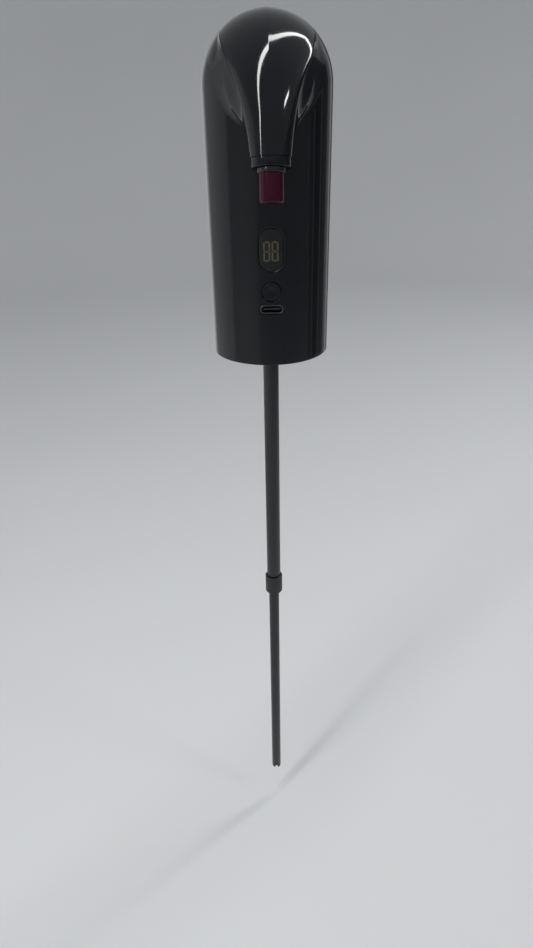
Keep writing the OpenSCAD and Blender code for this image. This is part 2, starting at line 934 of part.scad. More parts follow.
module inner_chassis() {
    slot_top = deck_z + manifold_h;
    color("#4a4a4e")
        difference() {
            intersection() {
                union() {
                    rod_z(deck_r, deck_z, deck_z + chassis_floor_h);
                    rod_z(cell_r + cup_gap + cup_wall, deck_z, cup_top, cell_x, drive_y);
                    rod_z(motor_r + cup_gap + cup_wall, deck_z, cup_top, motor_x, drive_y);
                    translate([(cell_x + cell_r + motor_x - motor_r - divider_t) / 2, divider_y[0], deck_z])
                        cube([divider_t, divider_y[1] - divider_y[0], bracket_z - deck_z]);
                    for (p = bracket_post) rod_z(bracket_post_r, deck_z, bracket_z, p[0], p[1]);
                }
                rod_z(inner_r - 0.6, 0, head_h);
                translate([-head_r, -deck_front, 0]) cube([head_d, head_d, head_h]);
            }
            rod_z(cell_r + cup_gap, seat_z, bracket_z, cell_x, drive_y);
            rod_z(motor_r + cup_gap, seat_z, bracket_z + over, motor_x, drive_y);
            rod_z(manifold_hub_r + arm_gap, deck_z - over, slot_top);
            arm_bar(wine_arm_r + arm_gap, -wine_hose_y, deck_z - over, slot_top);
            arm_bar(air_arm_r + arm_gap, air_hose_y, deck_z - over, slot_top);
            rod_z(wine_hose_d / 2 + 0.3, deck_z, head_h, 0, -wine_hose_y);
            rod_z(air_hose_d / 2 + 0.3, deck_z, head_h, 0, air_hose_y);
            for (p = chassis_screw_at) {
                rod_z(screw_d / 2 + ease, deck_z - over, head_h, p[0], p[1]);
                rod_z(screw_head_d / 2 + 0.2, deck_z + chassis_floor_h, head_h, p[0], p[1]);
            }
            for (p = bracket_post)
                rod_z(screw_d / 2 + ease, bracket_z - bracket_screw_len, bracket_z + over, p[0], p[1]);
            translate([motor_x - lead_slot[0], drive_y - motor_r - lead_slot[1] / 2, seat_z])
                cube([lead_slot[0], lead_slot[1], cup_h + over]);
        }
}

module chassis_screws() {
    length = chassis_screw_len - 0.5;
    color("#9a9da2")
        for (p = chassis_screw_at)
            translate([p[0], p[1], deck_z + chassis_floor_h - length]) screw(length);
}

module top_bracket() {
    bracket_rim = 2.4;
    bracket_side = 6;
    lead_hole_r = 3;
    color("#4a4a4e")
        difference() {
            intersection() {
                rod_z(inner_r - 1, bracket_z, bracket_z + bracket_h);
                translate([-head_r, bracket_post[1][1] - bracket_rim, 0])
                    cube([head_r + bracket_side, head_d, head_h]);
            }
            rod_z(motor_r + cup_gap, bracket_z - over, bracket_z + bracket_h + over, motor_x, drive_y);
            rod_z(air_hose_d / 2 + 0.4, bracket_z - over, bracket_z + bracket_h + over, 0, air_hose_y);
            rod_z(lead_hole_r, bracket_z - over, bracket_z + bracket_h + over, cell_x, lead_y);
            for (p = bracket_post)
                rod_z(screw_d / 2 + ease, bracket_z - over, bracket_z + bracket_h + over, p[0], p[1]);
        }
}

module bracket_screws() {
    length = bracket_screw_len - 0.5;
    color("#9a9da2")
        for (p = bracket_post)
            translate([p[0], p[1], bracket_z + bracket_h - length]) screw(length);
}

module battery_cell() {
    color("#2f6fb0")
        rod_z(cell_r, seat_z, seat_z + cell_len, cell_x, drive_y);
}

lead_d = 1.2;
lead_y = drive_y - 5;
lead_step = 1.8;
// Pads on the board: the cell's under its upper edge, the motor's over the frame's seat
cell_pad_down = 6;
motor_pad_up = 9;

module battery_leads() {
    low = seat_z + cell_len;
    high = low + 4;
    turn_y = -11;
    pad_x = cell_x + 4;
    pad_z = board_high - cell_pad_down;
    color("#b02020")
        for (s = [-0.5, 0.5])
            wire([
                [cell_x + s * lead_step, lead_y, low],
                [cell_x + s * lead_step, lead_y, high],
                [cell_x + s * lead_step, turn_y, high],
                [pad_x + s * lead_step, -board_back + 2, pad_z],
                [pad_x + s * lead_step, -board_back, pad_z]
            ], lead_d);
}

module motor_leads() {
    low = seat_z + 1.6;
    pad_z = seat_z + motor_pad_up;
    color("#303030")
        for (s = [-0.5, 0.5]) {
            x = motor_x - 2 + s * lead_step;
            y = drive_y - sqrt(motor_r * motor_r - pow(x - motor_x, 2)) - 0.25;
            wire([
                [x, y, low],
                [x, y - 3, low],
                [x - 3, -board_back + 2, pad_z],
                [x - 3, -board_back, pad_z]
            ], lead_d);
        }
}

module motor_can() {
    color("#b4b7bb")
        at_pump()
            difference() {
                union() {
                    rod_z(motor_r, can_z, can_top);
                    rod_z(boss_r, can_top, can_top + boss_h);
                }
                rod_z(motor_r - can_wall, can_z - over, can_top - can_wall);
                rod_z(shaft_d / 2 + spin_gap, can_z, can_top + boss_h + over);
            }
}

module motor_end_cap() {
    color("#e8e6df")
        at_pump()
            difference() {
                rod_z(motor_r, seat_z, can_z);
                rod_z(shaft_d / 2 + spin_gap, seat_z + 0.4, can_z + over);
                pipe_z(motor_r - 1.6, boss_r, can_z - 1.2, can_z + over);
            }
}

magnet_r = motor_r - can_wall - ease;
magnet_t = 1.4;
core_r = magnet_r - magnet_t - 0.4;
core_z = [can_z + 4, can_top - 4.5];

module motor_magnets() {
    color("#3b3b40")
        at_pump()
            difference() {
                pipe_z(magnet_r, magnet_r - magnet_t, core_z[0] - 1, core_z[1] + 1);
                translate([-motor_r, -2.5, 0]) cube([motor_d, 5, head_h]);
            }
}

module motor_rotor() {
    slots = 5;
    color("#b06a30")
        at_pump() {
            rod_z(shaft_d / 2, seat_z + 0.7, eccentric_z + shaft_seat);
            rod_z(2.4, can_z + 0.4, can_z + 3);
            difference() {
                rod_z(core_r, core_z[0], core_z[1]);
                around(slots, core_r)
                    translate([-core_r * 0.45, -0.6, core_z[0] - over])
                        cube([core_r, 1.2, core_z[1] - core_z[0] + 2 * over]);
            }
        }
}

module eccentric() {
    color("#d9d6cc")
        difference() {
            at_pump() rod_z(eccentric_r, eccentric_z, eccentric_z + eccentric_h);
            at_pump() rod_z(shaft_d / 2 + press_gap, eccentric_z - over, eccentric_z + shaft_seat + 0.1);
            at_wobble() rod_z(pin_r + press_gap, pin_low - 0.1, 0);
            at_pump()
                translate([-eccentric_r - over, -eccentric_r - over, eccentric_z + shaft_seat])
                    cube([eccentric_r * 0.7, 2 * eccentric_r + 2 * over, eccentric_h]);
        }
}

pin_r = 0.9;
pin_low = eccentric_z + shaft_seat + 0.4 - wobble_z;
pin_high = 1.6;
hub_low = -1.8;
hub_high = 1.2;
hub_r = 2.3;

module crank_pin() {
    color("#c9ccd0")
        at_wobble() rod_z(pin_r, pin_low, pin_high);
}

module wobble_plate() {
    color("#efece2")
        at_wobble()
            difference() {
                union() {
                    rod_z(hub_r, hub_low, hub_high);
                    around(3, 0, 90) {
                        translate([0, -1.2, 0]) cube([arm_r, 2.4, arm_h]);
                        rod_z(arm_end_r, 0, arm_h + button_post_h, arm_r, 0);
                    }
                }
                rod_z(pin_r + spin_gap, hub_low - over, hub_high + over);
            }
}

pump_screw_at = motor_r - 1.7;
pump_screw_start = 30;
pump_bore_r = motor_r - pump_wall;
// The three pumping cups of the diaphragm, and the posts and heads of the long screws
cup_r = 2.3;
cup_rise = 0.8;
pump_post_r = 1.5;
pump_screw_r = screw_d * 0.4;

module pump_screw_holes(z0, z1) {
    around(3, pump_screw_at, pump_screw_start) rod_z(pump_screw_r + ease, z0, z1, $fn = 32);
}

module pump_body() {
    color("#55575c")
        at_pump()
            difference() {
                union() {
                    difference() {
                        rod_z(motor_r, can_top, diaphragm_z);
                        rod_z(pump_bore_r, can_top + pump_floor_h, diaphragm_z + over);
                    }
                    intersection() {
                        around(3, pump_screw_at, pump_screw_start)
                            rod_z(pump_post_r, can_top + pump_floor_h, diaphragm_z);
                        rod_z(motor_r - pump_wall / 2, can_top, diaphragm_z);
                    }
                }
                rod_z(boss_r + 0.2, can_top - over, can_top + pump_floor_h + over);
                pump_screw_holes(diaphragm_z - 8, diaphragm_z + over);
            }
}

module diaphragm() {
    color("#1f1f22")
        at_pump()
            difference() {
                union() {
                    rod_z(motor_r, diaphragm_z, valve_z);
                    around(3, arm_r, 90) rod_z(cup_r, valve_z, valve_z + cup_rise);
                }
                pump_screw_holes(diaphragm_z - over, valve_z + over);
            }
}

module valve_plate() {
    color("#e4e1d6")
        at_pump()
            difference() {
                rod_z(motor_r, valve_z, pump_head_z);
                around(3, arm_r, 90) rod_z(cup_r + ease, valve_z - over, valve_z + cup_rise + 0.1);
                around(3, arm_r, 90) rod_z(0.6, valve_z, pump_head_z + over, $fn = 24);
                pump_screw_holes(valve_z - over, pump_head_z + over);
            }
}

module pump_head() {
    color("#606368")
        difference() {
            union() {
                at_pump() rod_z(motor_r, pump_head_z, pump_top);
                for (x = [outlet_x, inlet_x])
                    rod_z(air_hose_bore / 2 - ease, pump_top, pump_top + barb_h, x, drive_y);
            }
            at_pump() rod_z(motor_r - 4, pump_head_z - over, pump_top - 2);
            for (x = [outlet_x, inlet_x])
                rod_z(0.7, pump_top - 3, pump_top + barb_h + over, x, drive_y);
            at_pump() pump_screw_holes(pump_head_z - over, pump_top + over);
        }
}

module pump_screws() {
    length = pump_top - diaphragm_z + 6;
    color("#9a9da2")
        at_pump()
            around(3, pump_screw_at, pump_screw_start) {
                rod_z(pump_screw_r, pump_top - length, pump_top + 0.01, $fn = 32);
                rod_z(pump_post_r, pump_top, pump_top + 1);
            }
}

// Hoses

air_bend_z = pump_top + barb_h + 2;
hose_low = deck_z + manifold_h;

// Up from the pump's outlet, over in a half circle, and down to the manifold
module air_hose() {
    from = [outlet_x, drive_y];
    to = [0, air_hose_y];
    middle = (from + to) / 2;
    half = (from - to) / 2;
    arch = [for (k = [0:bend_steps])
        let (q = 180 * k / bend_steps, across = middle + half * cos(q))
        [across[0], across[1], air_bend_z + norm(half) * sin(q)]];
    color("#c9cfd2")
        hose(
            concat([[from[0], from[1], pump_top]], arch, [[to[0], to[1], hose_low]]),
            air_hose_d, air_hose_bore
        );
}

// The wine hose rises straight, turns over in one bend and runs down along the beak's own axis
hose_drop = 13;
wine_bend_r = (-end_edge[0] - wine_hose_y - hose_drop * up_y) / (1 + up_z);
wine_bend_z = end_edge[1] + hose_drop * up_z - wine_bend_r * up_y;
hose_end_z = insert_flange_z + insert_flange_h;

module wine_hose() {
    tail = end_edge + hose_end_z * spout_axis;
    arch = [for (k = [0:bend_steps])
        let (q = (180 - spout_tilt) * k / bend_steps)
        [0, -wine_hose_y - wine_bend_r * (1 - cos(q)), wine_bend_z + wine_bend_r * sin(q)]];
    color("#c9b8bc")
        hose(
            concat([[0, -wine_hose_y, hose_low]], arch, [[0, tail[0], tail[1]]]),
            wine_hose_d, wine_hose_bore
        );
}

body_shell();
hood_cover();
spout_end_ring();
nozzle_collar();
outlet_tip();
aerator_insert();
display_window();
display_module();
display_digits();
power_button();
button_switch();
switch_plunger();
usb_receptacle();
usb_tongue();
control_board();
board_screws();
base_cover();
neck_sleeve();
deck_plate();
base_screws();
bottle_stopper();
mouth_washer();
manifold();
manifold_gasket();
upper_dip_tube();
lower_dip_tube();
tube_gland();
gland_seal();
inner_chassis();
chassis_screws();
top_bracket();
bracket_screws();
battery_cell();
battery_leads();
motor_can();
motor_end_cap();
motor_magnets();
motor_rotor();
motor_leads();
pump_body();
eccentric();
crank_pin();
wobble_plate();
diaphragm();
valve_plate();
pump_head();
pump_screws();
air_hose();
wine_hose();
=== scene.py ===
# %% [markdown]
# # Dressing an electric wine aerator
# The aerator is a pump head over a ribbed stopper and a long dip tube. The head is a glossy black bullet with
# a beak and a small panel. The solids come from CAD as a fixed frame. Here the pieces that the eye meets get
# smooth skins worked out with numpy, and every piece gets a finish made of nodes.

# %% Load the frame
import math

import bpy
import bmesh
import numpy as np
from mathutils import Matrix, Vector


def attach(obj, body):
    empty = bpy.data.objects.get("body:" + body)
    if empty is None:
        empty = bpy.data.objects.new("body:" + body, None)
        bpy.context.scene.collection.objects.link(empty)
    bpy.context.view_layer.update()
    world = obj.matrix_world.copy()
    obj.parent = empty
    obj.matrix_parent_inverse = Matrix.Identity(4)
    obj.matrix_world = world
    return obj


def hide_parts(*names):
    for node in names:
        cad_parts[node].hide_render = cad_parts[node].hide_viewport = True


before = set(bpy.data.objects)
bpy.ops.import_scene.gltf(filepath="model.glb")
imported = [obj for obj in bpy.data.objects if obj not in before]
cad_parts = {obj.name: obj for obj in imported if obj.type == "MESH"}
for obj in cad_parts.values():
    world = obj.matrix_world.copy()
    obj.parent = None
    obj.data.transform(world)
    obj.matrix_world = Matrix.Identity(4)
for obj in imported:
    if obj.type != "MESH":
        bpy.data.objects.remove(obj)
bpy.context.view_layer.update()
MM = 0.001

# %% [markdown]
# ## Camera
# The camera stands close by, at the height of the beak, and looks down with a wide lens. Its place was solved
# once from the head's straight sides and rim. A camera can be aimed with a constraint, but here the three
# directions of its frame are written out, so that its small roll is kept too.

# %% Camera
IMAGE_H = 948
FOCAL_PX = 666.7
SENSOR_MM = 36
NEAREST_M = 0.01
PITCH, YAW, ROLL = np.radians([28.40, 1.01, -1.08])
eye = np.array([-7.776, -279.936, 88.992]) * MM

ahead = np.array([np.sin(YAW) * np.cos(PITCH), np.cos(YAW) * np.cos(PITCH), -np.sin(PITCH)])
level = np.array([np.cos(YAW), -np.sin(YAW), 0])
above = np.cross(level, ahead)
right = level * np.cos(ROLL) + above * np.sin(ROLL)
up = above * np.cos(ROLL) - level * np.sin(ROLL)

camera = bpy.data.objects.new("camera", bpy.data.cameras.new("camera"))
camera.data.sensor_width = SENSOR_MM
camera.data.lens = FOCAL_PX / IMAGE_H * camera.data.sensor_width
camera.data.clip_start = NEAREST_M
placed = [[*axis, place] for axis, place in zip(zip(right, up, -ahead), eye)]
camera.matrix_world = Matrix(placed + [[0, 0, 0, 1]])
bpy.context.scene.collection.objects.link(camera)
bpy.context.scene.camera = camera
print("lens", round(camera.data.lens, 2), "mm")

# %% [markdown]
# ## Grids into meshes
# Every skin below is a grid: a function of two parameters gives a point for each crossing. This helper
# numbers the four corners of each cell, puts several grids into one mesh and closes what meets. Poles and
# seams need no care, because points that fall together are merged.

# %% Grids into meshes
MERGE_MM, SLIVER_MM, CREASE_DEG = 0.004, 0.001, 35


def cells(rows, cols):
    """Corner numbers of a grid's cells: each point with its right, lower right and lower neighbour."""
    r, c = np.meshgrid(np.arange(rows - 1), np.arange(cols - 1), indexing="ij")
    first = (r * cols + c).reshape(-1, 1)
    return first + np.array([0, 1, cols + 1, cols])


def make_piece(name, grids, body, finish, stands_for, closed=True):
    """Joins grids of points in mm into one mesh in metres, merges what meets and rides it on its body.

    A closed mesh has its faces turned outwards. An open one has to have them right already.
    """
    points, faces, start = [], [], 0
    for grid in grids:
        points.append(grid.reshape(-1, 3))
        faces.append(start + cells(*grid.shape[:2]))
        start += points[-1].shape[0]
    mesh = bpy.data.meshes.new(name)
    mesh.from_pydata(np.concatenate(points) * MM, [], np.concatenate(faces).tolist())
    tidy = bmesh.new()
    tidy.from_mesh(mesh)
    bmesh.ops.remove_doubles(tidy, verts=tidy.verts, dist=MERGE_MM * MM)
    bmesh.ops.dissolve_degenerate(tidy, edges=tidy.edges, dist=SLIVER_MM * MM)
    if closed:
        bmesh.ops.recalc_face_normals(tidy, faces=tidy.faces)
    tidy.to_mesh(mesh)
    tidy.free()
    mesh.shade_smooth()
    mesh.set_sharp_from_angle(angle=math.radians(CREASE_DEG))
    mesh.materials.append(finish)
    piece = bpy.data.objects.new(name, mesh)
    bpy.context.scene.collection.objects.link(piece)
    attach(piece, body)
    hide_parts(*stands_for)
    print(name, len(mesh.polygons), "faces")


# %% [markdown]
# ## Colours and nodes
# Colours are written as they look on a screen and turned to linear light once. One small function adds any
# node with its settings and links, so a finish reads as a list of what it is made of.

# %% Colours and nodes
def shade(code):
    """An sRGB hex colour in linear light: divided by 12.92 near black, a 2.4 power above."""
    s = np.array([int(code[k:k + 2], 16) for k in (1, 3, 5)]) / 255
    return (*np.where(s <= 0.04045, s / 12.92, ((s + 0.055) / 1.055) ** 2.4), 1.0)


def add(tree, kind, links=None, **settings):
    """Adds a node; in_ settings go to sockets, others to properties; links feed sockets by name or number."""
    node = tree.nodes.new(kind)
    for key, value in settings.items():
        if key.startswith("in_"):
            node.inputs[key[3:].replace("_", " ")].default_value = value
        else:
            setattr(node, key, value)
    for key, source in (links or {}).items():
        tree.links.new(source, node.inputs[key])
    return node


def new_finish(name):
    """A material that holds one shader and its output, ready to be linked."""
    finish = bpy.data.materials.new(name)
    finish.use_nodes = True
    shader = finish.node_tree.nodes["Principled BSDF"]
    return finish, finish.node_tree, shader


print("black at 5 percent is", np.round(shade("#0d0d0f")[:3], 4))

# %% [markdown]
# ## A moulded finish
# Most of the object is injection moulded. A polished tool leaves a mirror gloss with a faint orange peel and
# a few handling smudges; an etched tool leaves an even fine grain; silicone is matt with a bloom. A flat
# colour would look like a drawing, so two noises vary it: a broad one for colour and smudges, a fine one for
# the grain.

# %% A moulded finish
# Most of a noise lies between these values, so colour and roughness are spread over them
NOISE_LOW, NOISE_HIGH, HAZE_HIGH = 0.3, 0.7, 0.75
BUMP_SHARE = 0.6


def moulded(name, dark, light, rough, smudge_mm, grain_mm, relief_mm, ior=1.53, mirror=0.5):
    """Colour and roughness drift over smudge_mm; on top lies a bump of relief_mm with grains of grain_mm."""
    finish, tree, shader = new_finish(name)
    place = add(tree, "ShaderNodeTexCoord").outputs["Object"]
    smudge = add(tree, "ShaderNodeTexNoise", {"Vector": place},
                 in_Scale=1 / (smudge_mm * MM), in_Detail=3.0)
    grain = add(tree, "ShaderNodeTexNoise", {"Vector": place},
                in_Scale=1 / (grain_mm * MM), in_Detail=2.0)
    tone = add(tree, "ShaderNodeValToRGB", {"Fac": smudge.outputs["Fac"]})
    tone.color_ramp.elements[0].color = shade(dark)
    tone.color_ramp.elements[1].color = shade(light)
    tone.color_ramp.elements[0].position = NOISE_LOW
    tone.color_ramp.elements[1].position = NOISE_HIGH
    haze = add(tree, "ShaderNodeMapRange", {"Value": smudge.outputs["Fac"]},
               in_From_Min=NOISE_LOW, in_From_Max=HAZE_HIGH, in_To_Min=rough[0], in_To_Max=rough[1])
    relief = add(tree, "ShaderNodeBump", {"Height": grain.outputs["Fac"]},
                 in_Distance=relief_mm * MM, in_Strength=BUMP_SHARE)
    tree.links.new(tone.outputs["Color"], shader.inputs["Base Color"])
    tree.links.new(haze.outputs["Result"], shader.inputs["Roughness"])
    tree.links.new(relief.outputs["Normal"], shader.inputs["Normal"])
    shader.inputs["IOR"].default_value = ior
    shader.inputs["Specular IOR Level"].default_value = mirror
    return finish


print("two noises make a moulded finish")

# %% [markdown]
# ## Plastics and rubbers
# Each finish is one call: two colours, the range of its roughness, and the sizes of smudge, grain and relief
# in millimetres. They could be set by hand in the shader editor, one by one. As calls they can be compared
# line by line. Typical values of the material come first, and then they are matched to the object.

# %% Plastics and rubbers
SILICONE_IOR, ACETAL_IOR = 1.41, 1.48
# High-gloss ABS from a polished tool: near black, mirror-like, with a slow waviness and faint smudges. Its
# mirror is set weaker than usual, to match how dark the object's flanks are
gloss_abs = moulded("gloss_black_abs_polished_tool", "#06080d", "#0a0c13", (0.045, 0.10), 9, 1.6, 0.0012,
                    mirror=0.28)
# The ring round the outlet is the same plastic from a satin tool, so its gloss is softer
satin_abs = moulded("satin_black_abs_moulded", "#0c0c0e", "#141417", (0.16, 0.26), 5, 0.5, 0.002, mirror=0.4)
# Polyamide from an etched tool: charcoal with an even grain of about a third of a millimetre
etched_nylon = moulded("black_nylon_etched_tool", "#101012", "#19191b", (0.42, 0.55), 6, 0.35, 0.010)
# The dip tube is extruded, so its gloss is between the two
tube_nylon = moulded("black_nylon_extruded_tube", "#0e0e10", "#161618", (0.28, 0.40), 8, 0.6, 0.003)
# Silicone rubber: matt, slightly bloomed, and a shade lighter where it has been handled
dark_silicone = moulded("charcoal_silicone_moulded", "#1b1b1d", "#28282b", (0.55, 0.70), 4, 0.4, 0.006,
                        SILICONE_IOR)
grey_silicone = moulded("grey_silicone_moulded", "#757575", "#868684", (0.50, 0.65), 3, 0.4, 0.005,
                        SILICONE_IOR)
# As a hose it is extruded: smoother, and milky since it has no pigment
clear_silicone = moulded("milky_silicone_hose_extruded", "#bdb9b4", "#cfccc8", (0.30, 0.42), 5, 0.7, 0.003,
                         SILICONE_IOR)
# Frame, manifold and pump: grey ABS straight from a plain tool
grey_abs = moulded("grey_abs_plain_tool", "#3f3f43", "#4c4c50", (0.38, 0.50), 7, 0.4, 0.005)
# Acetal is waxy and off-white
acetal = moulded("natural_acetal_moulded", "#d6d3c8", "#e3e1d8", (0.30, 0.42), 5, 0.5, 0.003, ACETAL_IOR)
# A shrink sleeve is thin PVC drawn tight by heat, so it is smooth and a little wavy
cell_sleeve = moulded("blue_pvc_shrink_sleeve", "#255a92", "#2f6fb0", (0.22, 0.34), 6, 0.8, 0.004)
# The cover of a wire is extruded from soft PVC and looks dull
red_wire = moulded("red_pvc_wire_extruded", "#9c1a1a", "#b52424", (0.35, 0.45), 3, 0.3, 0.003)
black_wire = moulded("black_pvc_wire_extruded", "#1c1c1c", "#2a2a2a", (0.35, 0.45), 3, 0.3, 0.003)
# The display is cast in a matt black filler, which swallows stray light
display_black = moulded("black_display_filler_cast", "#0b0b0c", "#121214", (0.45, 0.60), 3, 0.3, 0.003)
print("plastics and rubbers are ready")

# %% [markdown]
# ## Metals
# The metal pieces are small: an inlet plated in black nickel, screws, a drawn motor can. Plating shows a
# faint cloudiness, drawing leaves streaks along the draw. An image could be wrapped round them. A noise
# needs no unwrapping and keeps its size in millimetres, and stretched along one axis it makes the streaks.

# %% Metals
def plated(name, dark, light, rough, streak, cloud_mm):
    """Metal whose tone and roughness follow a noise of cloud_mm, stretched by streak along each axis."""
    finish, tree, shader = new_finish(name)
    place = add(tree, "ShaderNodeTexCoord").outputs["Object"]
    drawn = add(tree, "ShaderNodeMapping", {"Vector": place}, in_Scale=streak)
    cloud = add(tree, "ShaderNodeTexNoise", {"Vector": drawn.outputs["Vector"]},
                in_Scale=1 / (cloud_mm * MM), in_Detail=4.0)
    tone = add(tree, "ShaderNodeValToRGB", {"Fac": cloud.outputs["Fac"]})
    tone.color_ramp.elements[0].color = shade(dark)
    tone.color_ramp.elements[1].color = shade(light)
    haze = add(tree, "ShaderNodeMapRange", {"Value": cloud.outputs["Fac"]},
               in_To_Min=rough[0], in_To_Max=rough[1])
    tree.links.new(tone.outputs["Color"], shader.inputs["Base Color"])
    tree.links.new(haze.outputs["Result"], shader.inputs["Roughness"])
    shader.inputs["Metallic"].default_value = 1.0
    return finish


# Black nickel is dark with a soft shine, and the sheet under it is streaked along the sleeve's depth
nickel = plated("black_nickel_plated_sheet_steel", "#5d5f63", "#7d8084", (0.22, 0.38), (1, 0.2, 1), 0.6)
# Zinc on the screws is pale and cloudy
screw_steel = plated("zinc_plated_screw_steel", "#84878c", "#a8abb0", (0.28, 0.42), (1, 1, 1), 0.5)
# The can is drawn from sheet, so its streaks run along its axis
can_steel = plated("drawn_motor_can_steel", "#8f9296", "#bcbfc3", (0.25, 0.40), (1, 1, 0.1), 0.7)
# Sintered ferrite is dull and dark, with a weak metallic shine
ferrite = plated("sintered_ferrite_magnet", "#2c2c2f", "#44444a", (0.45, 0.60), (1, 1, 1), 0.5)
# Enamelled wire is warm and glossy, in bands that lie round the axis as its turns do
copper = plated("enamelled_copper_winding", "#8a4d22", "#b06a30", (0.25, 0.40), (0.1, 0.1, 1), 0.3)
print("metals are ready")

# %% [markdown]
# ## Shaft and board
# The rotor is one solid, although a real one is wire wound round a steel shaft. Two materials on one mesh
# would need its faces sorted. Instead the finish itself turns from enamelled wire to ground steel near the
# axis. The board is glass cloth under green solder mask, and its weave shows as two faint crossed bands.

# %% Shaft and board
ROTOR_AXIS, SHAFT_R = np.array([10.4, 3.5, 0]), 1.05
tree = copper.node_tree
wire = tree.nodes["Principled BSDF"].inputs["Base Color"]
place = add(tree, "ShaderNodeTexCoord").outputs["Object"]
flat = add(tree, "ShaderNodeVectorMath", {0: place}, operation="MULTIPLY")
flat.inputs[1].default_value = (1, 1, 0)
off = add(tree, "ShaderNodeVectorMath", {0: flat.outputs["Vector"]}, operation="DISTANCE")
off.inputs[1].default_value = ROTOR_AXIS * MM
on_shaft = add(tree, "ShaderNodeMath", {0: off.outputs["Value"]}, operation="LESS_THAN")
on_shaft.inputs[1].default_value = SHAFT_R * MM
# A mix of colours has its factor at socket 0, the colours at 6 and 7, and its result at 2
mixed = add(tree, "ShaderNodeMix", {0: on_shaft.outputs["Value"], 6: wire.links[0].from_socket},
            data_type="RGBA")
mixed.inputs[7].default_value = shade("#a5a8ac")
tree.links.new(mixed.outputs[2], wire)

# The threads lie as far apart as in coarse cloth. A wave texture counts 20 radians to a unit of its scale
THREAD_MM, WAVE_RADIANS = 0.789, 20
WEAVE_SCALE = 2 * np.pi / (WAVE_RADIANS * THREAD_MM * MM)
solder_mask, tree, shader = new_finish("green_solder_mask_on_glass_epoxy")
place = add(tree, "ShaderNodeTexCoord").outputs["Object"]
warp = add(tree, "ShaderNodeTexWave", {"Vector": place}, in_Scale=WEAVE_SCALE, bands_direction="X")
weft = add(tree, "ShaderNodeTexWave", {"Vector": place}, in_Scale=WEAVE_SCALE, bands_direction="Z")
weave = add(tree, "ShaderNodeMix", {"A": warp.outputs["Fac"], "B": weft.outputs["Fac"]}, in_Factor=0.5)
tone = add(tree, "ShaderNodeValToRGB", {"Fac": weave.outputs["Result"]})
tone.color_ramp.elements[0].color = shade("#0f4324")
tone.color_ramp.elements[1].color = shade("#17603a")
tree.links.new(tone.outputs["Color"], shader.inputs["Base Color"])
shader.inputs["Roughness"].default_value = 0.3
print("shaft and board are ready")

# %% [markdown]
# ## Outlet, window and digits
# The outlet is dark red and lets light through; the window is smoked acrylic, black until the digits behind
# it light up. Both are real transmissive plastics. Digits painted on the window would look flat. Here they
# are pale bars behind it, with a faint painted glow that makes the unlit segments show through the smoke.

# %% Outlet, window and digits
def clear_plastic(name, dark, light, rough, ior, cloud_mm):
    """Transmissive plastic whose tint drifts between two colours over cloud_mm."""
    finish, tree, shader = new_finish(name)
    place = add(tree, "ShaderNodeTexCoord").outputs["Object"]
    cloud = add(tree, "ShaderNodeTexNoise", {"Vector": place}, in_Scale=1 / (cloud_mm * MM), in_Detail=2.0)
    tone = add(tree, "ShaderNodeValToRGB", {"Fac": cloud.outputs["Fac"]})
    tone.color_ramp.elements[0].color = shade(dark)
    tone.color_ramp.elements[1].color = shade(light)
    tree.links.new(tone.outputs["Color"], shader.inputs["Base Color"])
    shader.inputs["Roughness"].default_value = rough
    shader.inputs["IOR"].default_value = ior
    return finish, shader


# Copolyester: a deep cloudy red with a soft gloss, its mirror set weak to match the object
red_outlet, shader = clear_plastic("dark_red_translucent_copolyester_moulded", "#330416", "#450926",
                                   0.12, 1.42, 4)
shader.inputs["Transmission Weight"].default_value = 0.3
shader.inputs["Specular IOR Level"].default_value = 0.1
# Acrylic is polished, so it mirrors clearly, and its smoke leaves little of what lies behind
smoked, shader = clear_plastic("smoked_acrylic_polished", "#4a4a4c", "#565658", 0.03, 1.49, 6)
shader.inputs["Transmission Weight"].default_value = 1.0

# The bars' tone and their painted glow vary in spots of about GLOW_MM
GLOW_MM = 0.9
painted_glow_bars, tree, shader = new_finish("warm_white_bar_epoxy_painted_glow")
place = add(tree, "ShaderNodeTexCoord").outputs["Object"]
glow = add(tree, "ShaderNodeTexNoise", {"Vector": place}, in_Scale=1 / (GLOW_MM * MM), in_Detail=1.0)
tone = add(tree, "ShaderNodeValToRGB", {"Fac": glow.outputs["Fac"]})
tone.color_ramp.elements[0].color = shade("#c9bd7c")
tone.color_ramp.elements[1].color = shade("#efe8c0")
tree.links.new(tone.outputs["Color"], shader.inputs["Base Color"])
# The emission is a painted glow, not a lamp: it lets the pale unlit bars show behind the smoked window
tree.links.new(tone.outputs["Color"], shader.inputs["Emission Color"])
shader.inputs["Emission Strength"].default_value = 0.9
shader.inputs["Roughness"].default_value = 0.5
print("outlet, window and digits are ready")

# %% [markdown]
# ## The beak's curves
# Three curves in the middle plane shape the beak: the crown along its top, the parting edge along its side
# and the chin underneath. They could be drawn as curve objects and lofted. Written as cubics with the same
# corners as in the CAD source, they make the skins land on the solids.

# %% The beak's curves
HEAD_R, HEAD_H, WALL, SEAM = 24.0, 121.5, 2.2, 0.1
BEAK_REACH, SPOUT_Z, SPOUT_W, SPOUT_FRONT, SPOUT_BACK = 42.3, 73.0, 13.9, 5.9, 6.8
TILT, BAND_H, HOOD_HALF, HOOD_WALL = np.radians(13), 3.0, 16.5, 1.7
NARROW_AT, NARROW_RATE = 0.63, 4.0
